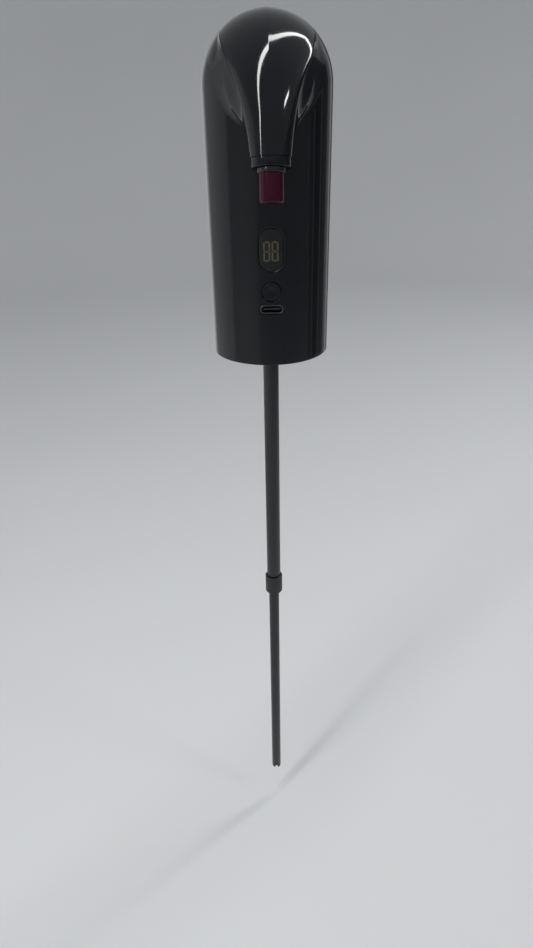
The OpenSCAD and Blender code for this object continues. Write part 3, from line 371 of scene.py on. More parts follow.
# A lead says how far forward a curve's second corner lies, as a share of the edge's reach or of the head's
# radius. A pull says how far its third one stands off the curve's end, along the beak's axis
EDGE_LEAD, CROWN_LEAD, CHIN_LEAD = 0.44, 0.79, 0.85
EDGE_PULL, CROWN_PULL, CHIN_PULL = 20, 23, 11
CHIN_START, CHIN_DROP = 2.5, 5
DOME_Z = HEAD_H - HEAD_R
CAP = np.arcsin(HOOD_HALF / HEAD_R)
BROW_Z = DOME_Z + HEAD_R * np.cos(CAP)
spout_axis = np.array([np.sin(TILT), np.cos(TILT)])
forward = np.array([-np.cos(TILT), np.sin(TILT)])
end_edge = np.array([-(BEAK_REACH - SPOUT_FRONT * np.cos(TILT)), SPOUT_Z])
band_edge = end_edge + BAND_H * spout_axis
crown_end = band_edge + SPOUT_FRONT * forward
chin_end = band_edge - SPOUT_BACK * forward
EDGE = np.array([[0, BROW_Z], [EDGE_LEAD * end_edge[0], BROW_Z],
                 band_edge + EDGE_PULL * spout_axis, band_edge])
CROWN = np.array([[0, HEAD_H], [-CROWN_LEAD * HEAD_R, HEAD_H],
                  crown_end + CROWN_PULL * spout_axis, crown_end])
CHIN = np.array([[-HEAD_R / 2, DOME_Z + CHIN_START], [-CHIN_LEAD * HEAD_R, DOME_Z - CHIN_DROP],
                 chin_end + CHIN_PULL * spout_axis, chin_end])


def cubic(corners, t):
    """A cubic curve: its corners weighted by (1-t)^3, 3t(1-t)^2, 3t^2(1-t) and t^3."""
    t = np.asarray(t)[..., None]
    a, b, c, d = corners
    return a * (1 - t) ** 3 + 3 * b * t * (1 - t) ** 2 + 3 * c * t * t * (1 - t) + d * t ** 3


def ease(t):
    """Zero before 0, one after 1, and 3t^2 - 2t^3 between."""
    t = np.clip(t, 0, 1)
    return t * t * (3 - 2 * t)


def edge_half(t):
    """Half width of the parting edge: wide on the dome, then a steep fall to the spout's half width."""
    fade = 1 / (1 + (t / NARROW_AT) ** NARROW_RATE)
    last = 1 / (1 + (1 / NARROW_AT) ** NARROW_RATE)
    return SPOUT_W / 2 + (HOOD_HALF - SPOUT_W / 2) * (fade - last) / (1 - last)


def unit(v):
    """A vector divided by its own length."""
    return v / np.linalg.norm(v, axis=-1, keepdims=True)


print("the beak's edge runs from z", round(BROW_Z, 1), "to", round(band_edge[1], 1), "mm")

# %% [markdown]
# ## Hood
# The hood is the glossy upper shell: it starts as a cap of the dome, sweeps forward and narrows to the spout.
# A box under a subdivision surface could be pulled into this, but then nothing would hold it to the solid. So
# each section is an arc of an ellipse through the two edges and the crown. Beside its middle line the surface
# is a little hollow. That leaves a very slight keel, which breaks the highlights in two and fades out on the
# beak.

# %% Hood
# Over this stretch of t the section opens from a cap of the dome to half an ellipse
OPEN_FROM, OPEN_OVER = 0.15, 0.6
# Beside the keel the surface sinks by KEEL_SINK at KEEL_W from the middle; along t this grows and fades
KEEL_SINK, KEEL_W, KEEL_ROUND = 0.22, 5.0, 0.05
KEEL_FROM, KEEL_GROWS, KEEL_TO, KEEL_FADES = -0.25, 0.3, 0.3, 0.35


def hood_skin(t, a, inset=0.0):
    """Arc of an ellipse from edge to edge, for a from -1 to 1, set in by inset.

    t runs from -1 at the back of the dome through 0 at its top to 1 at the spout.
    """
    s = np.clip(t, 0, 1)
    edge, crown = cubic(EDGE, s), cubic(CROWN, s)
    half = CAP + (np.pi / 2 - CAP) * ease((s - OPEN_FROM) / OPEN_OVER)
    rise = np.linalg.norm(crown - edge, axis=-1)
    tall = rise / (1 - np.cos(half))
    axis = unit(crown - edge)
    centre = edge - (tall * np.cos(half))[..., None] * axis
    wide = edge_half(s) / np.sin(half)
    # Behind the top the sections lean back over the round dome
    lean = CAP * np.sin(np.pi / 2 * np.clip(-t, 0, 1))
    back = t < 0
    half = np.where(back, np.arccos(np.clip(np.cos(CAP) / np.cos(lean), -1, 1)), half)
    axis = np.where(back[..., None], np.stack([np.sin(lean), np.cos(lean)], -1), axis)
    centre = np.where(back[..., None], [0, DOME_Z], centre)
    wide = np.where(back, HEAD_R, wide) - inset
    tall = np.where(back, HEAD_R, tall) - inset
    x = wide * np.sin(half * a)
    off = np.hypot(x, KEEL_ROUND) / KEEL_W
    hollow = KEEL_SINK * off * np.exp(1 - off) * ease((t - KEEL_FROM) / KEEL_GROWS)
    hollow = hollow * (1 - ease((t - KEEL_TO) / KEEL_FADES))
    n = tall * np.cos(half * a) - hollow
    return np.stack([x, centre[..., 0] + n * axis[..., 0], centre[..., 1] + n * axis[..., 1]], -1)


# Rows from just short of the cap's back edge over the top to the spout
BACK_END, BACK_POWER = 0.985, 0.8
along = np.concatenate([-np.linspace(BACK_END, 0, 30) ** BACK_POWER, np.linspace(0, 1, 130)[1:]])
# The rim's corner is rounded by RIM_R: the last points close up on the edge while they sink into the wall.
# ARC_LEN is a typical length of half a section
RIM_R, ARC_LEN = 0.12, 14.0
fall = np.linspace(0, np.pi / 2, 7)
rim_a, rim_in = 1 - RIM_R / ARC_LEN * (1 - np.sin(fall)), RIM_R * (1 - np.cos(fall))
# The columns crowd towards the middle, so that the keel stays crisp
CROWD = 0.3
even = np.linspace(-1, 1, 139)[1:-1]
middle = rim_a[0] * even * (CROWD + (1 - CROWD) * np.abs(even))
across = np.concatenate([-rim_a[::-1], middle, rim_a])
sink = np.concatenate([rim_in[::-1], 0 * middle, rim_in])
along_grid, across_grid = np.meshgrid(along, across, indexing="ij")
outer = hood_skin(along_grid, across_grid, sink)
# The inner skin ends a little inside the edge, and four strips close the wall between the two
INNER_SHARE = 0.995
inner = hood_skin(along_grid, across_grid * INNER_SHARE, HOOD_WALL)
side_rims = [np.stack([outer[:, k], inner[:, k]]) for k in (0, -1)]
end_rims = [np.stack([outer[k], inner[k]]) for k in (0, -1)]
make_piece("hood_skin", [outer, inner, *side_rims, *end_rims], "head", gloss_abs, ["hood_cover"])

# %% [markdown]
# ## Front panel
# Low on the front, one over the other, sit the charging port, the button and the display window. Cutting
# round holes in a curved skin with a boolean leaves long thin faces that spoil a glossy reflection. A
# cylinder can be unrolled, though, so each hole gets a flat rectangle of its own: straight lines run from the
# rectangle's edge to the hole's edge, and then the sheet is rolled back onto the head.

# %% Front panel
PANEL_HALF, PANEL_CUTS = 8.0, (15.0, 24.9, 34.8, 56.0)
PORT_LIP, BUTTON_LIP, WINDOW_LIP = 0.2, 0.3, 0.6
WINDOW_W, WINDOW_H, WINDOW_Z = 9.2, 15.4, 44.4
BUTTON_D, BUTTON_Z, BUTTON_GAP = 7.2, 29.2, 0.2
PORT_W, PORT_H, PORT_Z, PORT_GAP = 9.0, 3.25, 22.4, 0.2
side_steps = (10, 10, 22)
front_steps = 32


def roll_up(s, z, depth):
    """A flat sheet point, s along and z up, laid round the head; depth counts inwards from its surface."""
    r = HEAD_R - depth
    return np.stack([r * np.sin(s / HEAD_R), -r * np.cos(s / HEAD_R), z + 0 * s], -1)


def oval_reach(angle, straight, r, upright):
    """Distance from an oval's middle to its edge: to a straight side at r, or past it to an end circle."""
    u, v = np.abs(np.cos(angle)), np.abs(np.sin(angle))
    short, long = (u, v) if upright else (v, u)
    to_side = r / np.maximum(short, 1e-9)
    to_end = straight * long + np.sqrt(np.maximum(r * r - (straight * short) ** 2, 0))
    return np.where(to_side * long <= straight, to_side, to_end)


def holed_panel(low, high, steps, middle, straight, r, lip_r, upright):
    """Rectangle with an oval hole: rays shrink from edge to hole, then turn over a lip into the wall."""
    s = np.linspace(-PANEL_HALF, PANEL_HALF, front_steps + 1)
    z = np.linspace(low, high, steps + 1)
    edge_s = np.concatenate([s, np.full(steps - 1, PANEL_HALF), s[::-1], np.full(steps, -PANEL_HALF)])
    edge_z = np.concatenate([0 * s + low, z[1:-1], 0 * s + high, z[::-1][1:]])
    angle = np.arctan2(edge_z - middle, edge_s)
    reach = np.hypot(edge_s, edge_z - middle)
    turn = np.linspace(0, np.pi / 2, 7)
    v = np.linspace(0, 1, 13)[:, None]
    sheet = reach * (1 - v) + oval_reach(angle, straight, r + lip_r, upright) * v
    lip = np.stack([oval_reach(angle, straight, r + lip_r * (1 - np.sin(q)), upright) for q in turn[1:]])
    wall = np.stack([lip[-1], lip[-1]])
    rays = np.concatenate([sheet, lip, wall])
    depth = np.concatenate([0 * v[:, 0], lip_r * (1 - np.cos(turn[1:])), [WALL / 2, WALL]])[:, None]
    return roll_up(rays * np.cos(angle), middle + rays * np.sin(angle), depth)


panels = [
    holed_panel(*PANEL_CUTS[0:2], side_steps[0], PORT_Z, (PORT_W - PORT_H) / 2, PORT_H / 2 + PORT_GAP,
                PORT_LIP, False),
    holed_panel(*PANEL_CUTS[1:3], side_steps[1], BUTTON_Z, 0, BUTTON_D / 2 + BUTTON_GAP,
                BUTTON_LIP, True),
    holed_panel(*PANEL_CUTS[2:4], side_steps[2], WINDOW_Z, (WINDOW_H - WINDOW_W) / 2, WINDOW_W / 2 + SEAM,
                WINDOW_LIP, True),
]
print("three holes in", PANEL_CUTS[-1] - PANEL_CUTS[0], "mm of panel")

# %% [markdown]
# ## Round body
# The body is a bullet: a straight cylinder with half a sphere on top, cut off level with the hood's brow. It
# is a lathe shape, a profile carried round the axis. A Screw modifier would turn it too, but the strip with
# the panel is left out, and its neighbours have to meet the panel point for point.

# %% Round body
def turned(radius, height, angles):
    """A profile of radii and heights carried round the axis; angle 0 is the front."""
    r, z = radius[:, None], height[:, None] + 0 * angles
    return np.stack([r * np.sin(angles), -r * np.cos(angles), z], -1)


RIM, LOW_ROWS, HIGH_ROWS = 0.4, 8, 20
front = np.linspace(-PANEL_HALF, PANEL_HALF, front_steps + 1) / HEAD_R
rest = np.linspace(PANEL_HALF, 2 * np.pi * HEAD_R - PANEL_HALF, 181) / HEAD_R
whole = np.concatenate([front, rest[1:]])
# From the rounded bottom rim to the panel's foot
bend = np.linspace(0, np.pi / 2, 7)
low_r = np.concatenate([[HEAD_R - WALL], HEAD_R - RIM + RIM * np.sin(bend), np.full(LOW_ROWS, HEAD_R)])
low_z = np.concatenate([[0], RIM - RIM * np.cos(bend), np.linspace(RIM, PANEL_CUTS[0], LOW_ROWS + 1)[1:]])
# Beside the panel, in step with its three rectangles
stretches = zip(PANEL_CUTS, PANEL_CUTS[1:], side_steps)
mid_z = np.concatenate([np.linspace(a, b, n + 1)[:-1] for a, b, n in stretches])
mid_z = np.append(mid_z, PANEL_CUTS[-1])
# Over the panel, up the dome and in under the hood
climb = np.linspace(0, np.arcsin((BROW_Z - SEAM - DOME_Z) / HEAD_R), 40)
high_r = np.concatenate([np.full(HIGH_ROWS, HEAD_R), HEAD_R * np.cos(climb),
                         [(HEAD_R - WALL) * np.cos(climb[-1])]])
high_z = np.concatenate([np.linspace(PANEL_CUTS[-1], DOME_Z, HIGH_ROWS + 1)[:-1],
                         DOME_Z + HEAD_R * np.sin(climb),
                         [DOME_Z + (HEAD_R - WALL) * np.sin(climb[-1])]])
body_grids = [turned(low_r, low_z, whole), turned(np.full(len(mid_z), HEAD_R), mid_z, rest),
              turned(high_r, high_z, whole), *panels]
print("the body's profile has", len(low_z) + len(mid_z) + len(high_z), "rings")

# %% [markdown]
# ## Chin
# The beak's lower half belongs to the body: a squarish trough from edge to edge that grows out of its front.
# It could be an extrusion with a bevel, but its width and depth change all the way. So each section is the
# rounded square on which the fourth powers of width and depth add up to one. A ray at an even angle meets it
# in evenly spread points, also at the corners.

# %% Chin
CHIN_FROM, CHIN_PROUD = 0.06, 0.06
CHIN_FLARE, FLARE_TO, FLARE_FADES = 1.6, 0.45, 0.4


def chin_skin(t, angle):
    """A squarish U: angle 0 is the right edge, a quarter turn the bottom; flared where it nears the body."""
    edge = cubic(EDGE, t)
    fall = cubic(CHIN, t) - edge
    reach = (np.cos(angle) ** 4 + np.sin(angle) ** 4) ** -0.25
    n = reach * np.sin(angle)
    flare = CHIN_FLARE * (1 - ease((t - FLARE_TO) / FLARE_FADES))
    x = reach * np.cos(angle) * (edge_half(t) + CHIN_PROUD + flare * n)
    return np.stack([x, edge[..., 0] + n * fall[..., 0], edge[..., 1] + n * fall[..., 1]], -1)


along_chin = np.linspace(CHIN_FROM, 1, 120)
# The rim ends in a small round, a hair over the hood's edge, and turns inwards: the seam is a fine line
LEDGE_R, LEDGE, LEDGE_UP = 0.15, 0.6, 0.08
chin_depth = np.linalg.norm(cubic(CHIN, along_chin) - cubic(EDGE, along_chin), axis=-1)
first_angle = np.arcsin((LEDGE_R - LEDGE_UP) / chin_depth)
along_grid, share = np.meshgrid(along_chin, np.linspace(1, 0, 161), indexing="ij")
chin = chin_skin(along_grid, first_angle[:, None] * (1 - 2 * share) + np.pi * share)
rim_up = unit(cubic(EDGE, along_chin) - cubic(CHIN, along_chin))[:, None]
q = np.linspace(0, np.pi / 2, 6)[1:]
rim_x = np.append(LEDGE_R * (np.cos(q) - 1), -LEDGE_R - LEDGE)
rim_n = np.append(LEDGE_R * np.sin(q), LEDGE_R)[:, None]
rim_x, rim_n = np.broadcast_to(rim_x, (len(along_chin), len(rim_x))), rim_n * rim_up
right_rim = chin[:, -1:] + np.concatenate([rim_x[..., None], rim_n], -1)
left_rim = (right_rim * [-1, 1, 1])[:, ::-1]
chin = np.concatenate([left_rim, chin, right_rim], axis=1)
print("the trough is", round(float(np.ptp(chin[-1, :, 0])), 1), "mm wide at its end")

# %% [markdown]
# ## Where beak and body meet
# On the real moulding the beak flows into the body in a soft hollow, which a plain join of two skins lacks. A
# bevel on a boolean's edge would do, but it would also spoil the gloss with thin faces. So the line where
# trough and bullet meet is found first, by trying many points of the trough's right half at once.

# %% Where beak and body meet
HAIR = 0.02


def from_bullet(p):
    """Offset from the bullet's axis below the dome's middle, or from that middle above it."""
    return p - np.stack([0 * p[..., 0], 0 * p[..., 0], np.minimum(p[..., 2], DOME_Z)], -1)


def standing_out(t, angle):
    """How far a point of the trough stands out of the bullet."""
    return np.linalg.norm(from_bullet(chin_skin(t, angle)), axis=-1) - HEAD_R


tries = np.linspace(0.03, 0.9, 4000)
t_edge = tries[np.argmax(standing_out(tries, 0 * tries) > HAIR)]
t_low = tries[np.argmax(standing_out(tries, 0 * tries + np.pi / 2) > 0)]
# Along the line t and the angle both grow, so for each sum of the two their difference is searched for the
# crossing
total = np.linspace(0.004, 1.999, 260)[:, None]
lead = np.linspace(-1, 1, 3001) * np.minimum(total, 2 - total)
t_try = t_edge + (t_low - t_edge) * (total + lead) / 2
angle_try = np.pi / 4 * (total - lead)
first_out = np.argmax(standing_out(t_try, angle_try) > 0, axis=1)
t_meet, angle_meet = (np.take_along_axis(v, first_out[:, None], 1)[:, 0] for v in (t_try, angle_try))
meeting = chin_skin(t_meet, angle_meet)
run = np.concatenate([[0], np.cumsum(np.linalg.norm(np.diff(meeting, axis=0), axis=-1))])
print("the meeting line is", round(float(run[-1]), 1), "mm long on each side")

# %% [markdown]
# ## Fillet
# A strip leaves the trough a few millimetres before that line and lands on the bullet as far after it,
# tangent to both. A ball rolled along the line would give the hollow too, but it has no room where the line
# runs out at the seam. A cubic from side to side needs only two places and two directions, and it can shrink
# to nothing there.

# %% Fillet
FILLET, FILLET_GROWS, FILLET_LEAST = 4.5, 22.0, 0.03
EDGE_SHARE, NEARLY = 0.8, 0.95
# Roughly out of the trough's right half, to choose between a normal's two directions
OUTWARDS = [1, 0.4, -0.6]


def onto_bullet(p):
    """The point pushed straight out or in to the bullet's surface."""
    away = from_bullet(p)
    return p - away + HEAD_R * unit(away)


def dot(a, b):
    """Sum of products along the last axis, which is kept."""
    return np.sum(a * b, -1, keepdims=True)


small = 1e-4
by_t = (chin_skin(t_meet + small, angle_meet) - meeting) / small
by_angle = (chin_skin(t_meet, angle_meet + small) - meeting) / small
course = unit(np.gradient(meeting, axis=0))
trough_n, bullet_n = unit(np.cross(by_t, by_angle)), unit(from_bullet(meeting))
trough_n = trough_n * np.sign(dot(trough_n, OUTWARDS))
off = unit(np.cross(trough_n, course))
off = off * np.sign(dot(off, bullet_n))
land = unit(np.cross(course, bullet_n))
land = land * np.sign(dot(land, trough_n))
# The strip starts narrow at the seam, grows along the line and stays short of the trough's own edge
size = np.maximum(FILLET * ease(run / FILLET_GROWS), FILLET_LEAST)
to_edge = np.linalg.norm(meeting - chin_skin(t_meet, 0 * t_meet), axis=-1)
size = np.minimum(size, EDGE_SHARE * to_edge + HAIR)[:, None]
# The step along the trough that goes `size` in direction off, from the lengths and products of its tangents
tt, ta, aa = dot(by_t, by_t), dot(by_t, by_angle), dot(by_angle, by_angle)
ot, oa = size * dot(by_t, off), size * dot(by_angle, off)
dt = ((aa * ot - ta * oa) / (tt * aa - ta * ta))[:, 0]
da = ((tt * oa - ta * ot) / (tt * aa - ta * ta))[:, 0]
leave = chin_skin(t_meet + dt, angle_meet + da)
arrive = onto_bullet(meeting + size * land)
reach = np.linalg.norm(arrive - leave, axis=-1, keepdims=True)
# The directions at both ends come from a point that is nearly there
leave_go = unit(chin_skin(t_meet + NEARLY * dt, angle_meet + NEARLY * da) - leave) * reach
arrive_go = unit(arrive - onto_bullet(meeting + NEARLY * size * land)) * reach
w = np.linspace(0, 1, 19)[:, None, None]
strip = (leave * (1 + 2 * w) * (1 - w) ** 2 + leave_go * w * (1 - w) ** 2
         + arrive * w * w * (3 - 2 * w) - arrive_go * w * w * (1 - w))
# Its last column lies in the middle plane, where it meets the strip of the other side
strip[:, -1, 0] = 0
print("the strip has", strip.shape[0], "by", strip.shape[1], "points")

# %% [markdown]
# ## Body skin
# Bullet, panel, trough and the two strips become one mesh. A boolean union would also cut away what lies
# inside, but at the price of thin faces. Here the sheets pass through each other inside the beak, where it
# doesn't show, and every outer face stays clean.

# %% Body skin
body_grids += [chin, strip, (strip * [-1, 1, 1])[:, ::-1]]
make_piece("body_skin", body_grids, "head", gloss_abs, ["body_shell"], closed=False)

# %% [markdown]
# ## Band
# The beak ends in a narrow band whose outline is half an ellipse in front and a squarish U behind. An
# extruded curve with a bevel would do for its outside, but its floor has a round hole. So it is a loop of
# rows, and each row may have an outline of its own.

# %% Band
BAND_INSET, BAND_EDGE, BAND_FOOT, BAND_FLOOR, BAND_WALL = 0.3, 0.35, 0.65, 1.2, 2.0
TIP_D, FIT = 8.4, 0.05
full_turn = np.linspace(0, 2 * np.pi, 129)
edge_turn = np.linspace(0, np.pi / 2, 6)


def at_spout(x, y, z):
    """Points in the beak's own frame, z along its axis, put where the beak's end is."""
    return np.stack([x, end_edge[0] - y * forward[0] + z * spout_axis[0],
                     end_edge[1] - y * forward[1] + z * spout_axis[1]], -1)


def band_outline(u, inset):
    """Half an ellipse in front, and behind it a U from the roots of cos and sin."""
    c, s = np.cos(u), np.sin(u)
    wide, root = SPOUT_W / 2 - inset, np.sqrt(np.abs(c)) * np.sign(c)
    x = np.where(s >= 0, wide * c, wide * root)
    y = np.where(s >= 0, -(SPOUT_FRONT - inset) * s, (SPOUT_BACK - inset) * np.sqrt(np.abs(s)))
    return np.stack([x, y], -1)


hole = np.stack([np.cos(full_turn), -np.sin(full_turn)], -1) * (TIP_D / 2 + FIT)
outside = [(band_outline(full_turn, BAND_INSET), BAND_H - SEAM)]
for a in edge_turn:
    row = band_outline(full_turn, BAND_FOOT - BAND_EDGE * np.cos(a))
    outside.append((row, BAND_EDGE - BAND_EDGE * np.sin(a)))
foot = band_outline(full_turn, BAND_FOOT)
floor_out = [(foot * (1 - v) + hole * v, 0.0) for v in np.linspace(0, 1, 6)]
inner_wall = band_outline(full_turn, BAND_WALL)
inside = [(hole, BAND_FLOOR), (inner_wall, BAND_FLOOR), (inner_wall, BAND_H - SEAM), outside[0]]
loop = outside + floor_out + inside
band = np.stack([at_spout(o[:, 0], o[:, 1], z + 0 * full_turn) for o, z in loop])
make_piece("spout_band", [band], "head", gloss_abs, ["spout_end_ring"])

# %% [markdown]
# ## Ring and outlet
# Under the band a ring holds the dark red outlet, a short tube with a rounded mouth. Both are turned about
# the beak's own axis, which leans forward. A Screw modifier turns a profile about an object's axis, but these
# objects sit unturned at the origin, so the turning is written out.

# %% Ring and outlet
COLLAR_D, COLLAR_H, COLLAR_EDGE, COLLAR_BACK, CHAMFER = 9.6, 1.7, 0.35, 0.25, 0.15
TIP_LEN, TIP_BORE, TIP_TOP, TIP_ROUND, BORE_ROUND = 11.3, 5.2, 1.1, 1.2, 0.4


def corner(r, z, size, start, count=6):
    """Quarter circle of a profile about (r, z), from angle start in degrees, anticlockwise."""
    a = np.radians(start + np.linspace(0, 90, count))
    return np.stack([r + size * np.cos(a), z + size * np.sin(a)], -1)


def spout_turned(profile):
    """A closed profile of radius and height turned about the beak's axis."""
    profile = np.concatenate([profile, profile[:1]])
    r, z = profile[:, 0][:, None], profile[:, 1][:, None]
    return at_spout(r * np.cos(full_turn), r * np.sin(full_turn), z + 0 * full_turn)


collar_r, collar_bore = COLLAR_D / 2, TIP_D / 2 + FIT
ring = np.concatenate([corner(collar_r - COLLAR_EDGE, -COLLAR_H + COLLAR_EDGE, COLLAR_EDGE, -90),
                       [[collar_r, -COLLAR_BACK]],
                       corner(collar_r - COLLAR_BACK, -COLLAR_BACK, COLLAR_BACK, 0),
                       [[collar_bore, 0], [collar_bore, -COLLAR_H + CHAMFER],
                        [collar_bore + CHAMFER, -COLLAR_H]]])
make_piece("outlet_ring", [spout_turned(ring)], "head", satin_abs, ["nozzle_collar"])

tip = np.concatenate([corner(TIP_D / 2 - TIP_ROUND, -TIP_LEN + TIP_ROUND, TIP_ROUND, -90, 12),
                      [[TIP_D / 2, TIP_TOP], [TIP_BORE / 2, TIP_TOP]],
                      corner(TIP_BORE / 2 + BORE_ROUND, -TIP_LEN + BORE_ROUND, BORE_ROUND, 180)])
make_piece("outlet_tube", [spout_turned(tip)], "head", red_outlet, ["outlet_tip"])

# %% [markdown]
# ## Window
# The window is an oval plate rolled to the head's curve and set a little deep. A flat plate would be easier,
# but its reflection would break off at the hole. Its rows shrink from the edge to the middle. A small round
# on the front edge draws the thin bright line round it.

# %% Window
WINDOW_BACK, WINDOW_DEEP, WINDOW_EDGE = WALL - 0.3, 0.45, 0.08
ray_angle = np.linspace(0, 2 * np.pi, 193)


def window_row(r_cut, depth, scale=1.0):
    """An oval set in by r_cut and shrunk by scale, rolled to the head at a depth."""
    reach = scale * oval_reach(ray_angle, (WINDOW_H - WINDOW_W) / 2, WINDOW_W / 2 - r_cut, True)
    return roll_up(reach * np.cos(ray_angle), WINDOW_Z + reach * np.sin(ray_angle), depth)


face = [window_row(WINDOW_EDGE, WINDOW_DEEP, k) for k in np.linspace(0, 1, 12)]
for a in edge_turn[1:]:
    face.append(window_row(WINDOW_EDGE * (1 - np.sin(a)), WINDOW_DEEP + WINDOW_EDGE * (1 - np.cos(a))))
face += [window_row(0, WINDOW_BACK, k) for k in np.linspace(1, 0, 6)]
make_piece("window_lens", [np.stack(face)], "head", smoked, ["display_window"])

# %% [markdown]
# ## Button
# The button is a turned cap with a shallow dish for the finger, a rounded shoulder, and a flange behind the
# wall that keeps it in. A cylinder with a bevel would lack the dish, so the whole profile is written out, and
# the dish is part of a large circle.

# %% Button
BUTTON_FRONT, FLANGE_FRONT = HEAD_R - 0.1, HEAD_R - WALL - 0.8
BUTTON_EDGE, FLANGE_T, FLANGE_OUT, DISH_R, DISH_AT = 0.4, 0.8, 0.6, 10, 9.82
dish_r = np.linspace(0, BUTTON_D / 2 - BUTTON_EDGE, 24)
dish = np.stack([dish_r, np.maximum(np.sqrt(DISH_R ** 2 - dish_r ** 2) - DISH_AT, 0)], -1)
a = np.linspace(0, np.pi / 2, 8)[1:]
shoulder = np.stack([BUTTON_D / 2 - BUTTON_EDGE + BUTTON_EDGE * np.sin(a),
                     BUTTON_EDGE * (1 - np.cos(a))], -1)
drop, flange_r = BUTTON_FRONT - FLANGE_FRONT, BUTTON_D / 2 + FLANGE_OUT
skirt = [[BUTTON_D / 2, drop], [flange_r, drop], [flange_r, drop + FLANGE_T], [0, drop + FLANGE_T]]
cap = np.concatenate([dish, shoulder, skirt])
r, deep = cap[:, 0][:, None], cap[:, 1][:, None]
button = np.stack([r * np.cos(full_turn), deep - BUTTON_FRONT + 0 * full_turn,
                   BUTTON_Z + r * np.sin(full_turn)], -1)
make_piece("button_cap", [button], "power_button", gloss_abs, ["power_button"])

# %% [markdown]
# ## Port
# The port is an oval sleeve drawn from thin sheet. An extruded curve would leave its front edge sharp. Here
# its profile runs forward on the outside, turns over the lip in half a circle, and runs back on the inside.

# %% Port
SOCKET_D, BOARD_GAP, BOARD_T = 30.1, 1.45, 1.1
PORT_WALL, PORT_FRONT, BOARD_FRONT = 0.35, HEAD_R - 0.5, SOCKET_D / 2 + BOARD_GAP + BOARD_T
lip_turn = np.linspace(0, np.pi, 9)
sleeve = [(0, PORT_FRONT - BOARD_FRONT)]
sleeve += [(PORT_WALL / 2 * (1 - np.cos(q)), PORT_WALL / 2 * (1 - np.sin(q))) for q in lip_turn]
sleeve += [(PORT_WALL, PORT_FRONT - BOARD_FRONT), sleeve[0]]
rows = []
for inset, deep in sleeve:
    reach = oval_reach(ray_angle, (PORT_W - PORT_H) / 2, PORT_H / 2 - inset, False)
    rows.append(np.stack([reach * np.cos(ray_angle), deep - PORT_FRONT + 0 * reach,
                          PORT_Z + reach * np.sin(ray_angle)], -1))
make_piece("port_sleeve", [np.stack(rows)], "head", nickel, ["usb_receptacle"])

# %% [markdown]
# ## Dip tube
# Under the head a black tube reaches far down. It is in two lengths, one sliding in the other, and its foot
# is notched so that it can stand on a floor and still draw. A boolean could cut the notches. Here a few
# columns of the turned grid are added at their flanks, and the foot's edge is lifted between them.

# %% Dip tube
TUBE_D, TUBE_WALL, TUBE_TOP, TUBE_LOW = 6.8, 0.7, 17.3, -128.0
SLIDE_R, SLIDE_TOP, SLIDE_LOW = TUBE_D / 2 - TUBE_WALL - 0.1, -104.0, -268.0
lathe_angle = np.linspace(0, 2 * np.pi, 97)


def ring_loop(profile, angles=lathe_angle):
    """A closed profile turned about the head's axis."""
    profile = np.concatenate([profile, profile[:1]])
    return turned(profile[:, 0], profile[:, 1], angles)


def pipe_profile(r, bore, low, high, edge=0.15):
    """Wall of a pipe with rounded ends: up along the outside, down along the bore."""
    return np.concatenate([corner(r - edge, low + edge, edge, -90), corner(r - edge, high - edge, edge, 0),
                           corner(bore + edge, high - edge, edge, 90),
                           corner(bore + edge, low + edge, edge, 180)])


make_piece("upper_tube", [ring_loop(pipe_profile(TUBE_D / 2, TUBE_D / 2 - TUBE_WALL, TUBE_LOW, TUBE_TOP))],
           "head", tube_nylon, ["upper_dip_tube"])

notch_at, notch_half, notch_h = np.radians([0, 90, 180, 270, 360]), np.radians(19), 1.5
flank = np.radians(0.3)
flanks = np.array([-1, -1, 1, 1]) * notch_half + np.array([-1, 1, -1, 1]) * flank
turn_angle = np.unique(np.concatenate([lathe_angle, (notch_at[:, None] + flanks).ravel()]))
turn_angle = turn_angle[(turn_angle >= 0) & (turn_angle <= 2 * np.pi)]
off_notch = np.min(np.abs(turn_angle[:, None] - notch_at), axis=1)
lift = notch_h * np.clip((notch_half + flank - off_notch) / (2 * flank), 0, 1)
slide = ring_loop(pipe_profile(SLIDE_R, SLIDE_R - TUBE_WALL, SLIDE_LOW, SLIDE_TOP), turn_angle)
slide[..., 2] += np.where(slide[..., 2] < SLIDE_LOW + 1, 1, 0) * lift
make_piece("lower_tube", [slide], "lower_dip_tube", tube_nylon, ["lower_dip_tube"])

# %% [markdown]
# ## Gland
# A small nut closes the upper tube's end and guides the lower one. It is turned like the tubes, as one closed
# profile with a larger round below and a smaller one above, because moulded edges are never sharp.

# %% Gland
GLAND_R, GLAND_H, GLAND_LIP, SEAL_H = TUBE_D / 2 + 0.9, 10.0, 2.0, 1.6
FOOT_ROUND, TOP_ROUND, SLIDE_GAP, LEAD_IN = 0.6, 0.3, 0.1, 0.2
gland_low = TUBE_LOW - GLAND_LIP - SEAL_H
gland_top, gland_bore, slide_bore = gland_low + GLAND_H, TUBE_D / 2 + FIT, SLIDE_R + SLIDE_GAP
gland = np.concatenate([corner(GLAND_R - FOOT_ROUND, gland_low + FOOT_ROUND, FOOT_ROUND, -90),
                        corner(GLAND_R - TOP_ROUND, gland_top - TOP_ROUND, TOP_ROUND, 0),
                        [[gland_bore, gland_top], [gland_bore, gland_low + GLAND_LIP],
                         [slide_bore, gland_low + GLAND_LIP], [slide_bore, gland_low + LEAD_IN],
                         [slide_bore + LEAD_IN, gland_low]]])
make_piece("gland_nut", [ring_loop(gland)], "head", etched_nylon, ["tube_gland"])

# %% [markdown]
# ## Stopper
# The stopper is a silicone plug with soft ribs that seal. An array of rings on a cylinder would leave hidden
# faces inside, so ribs and roots are one profile, turned once.

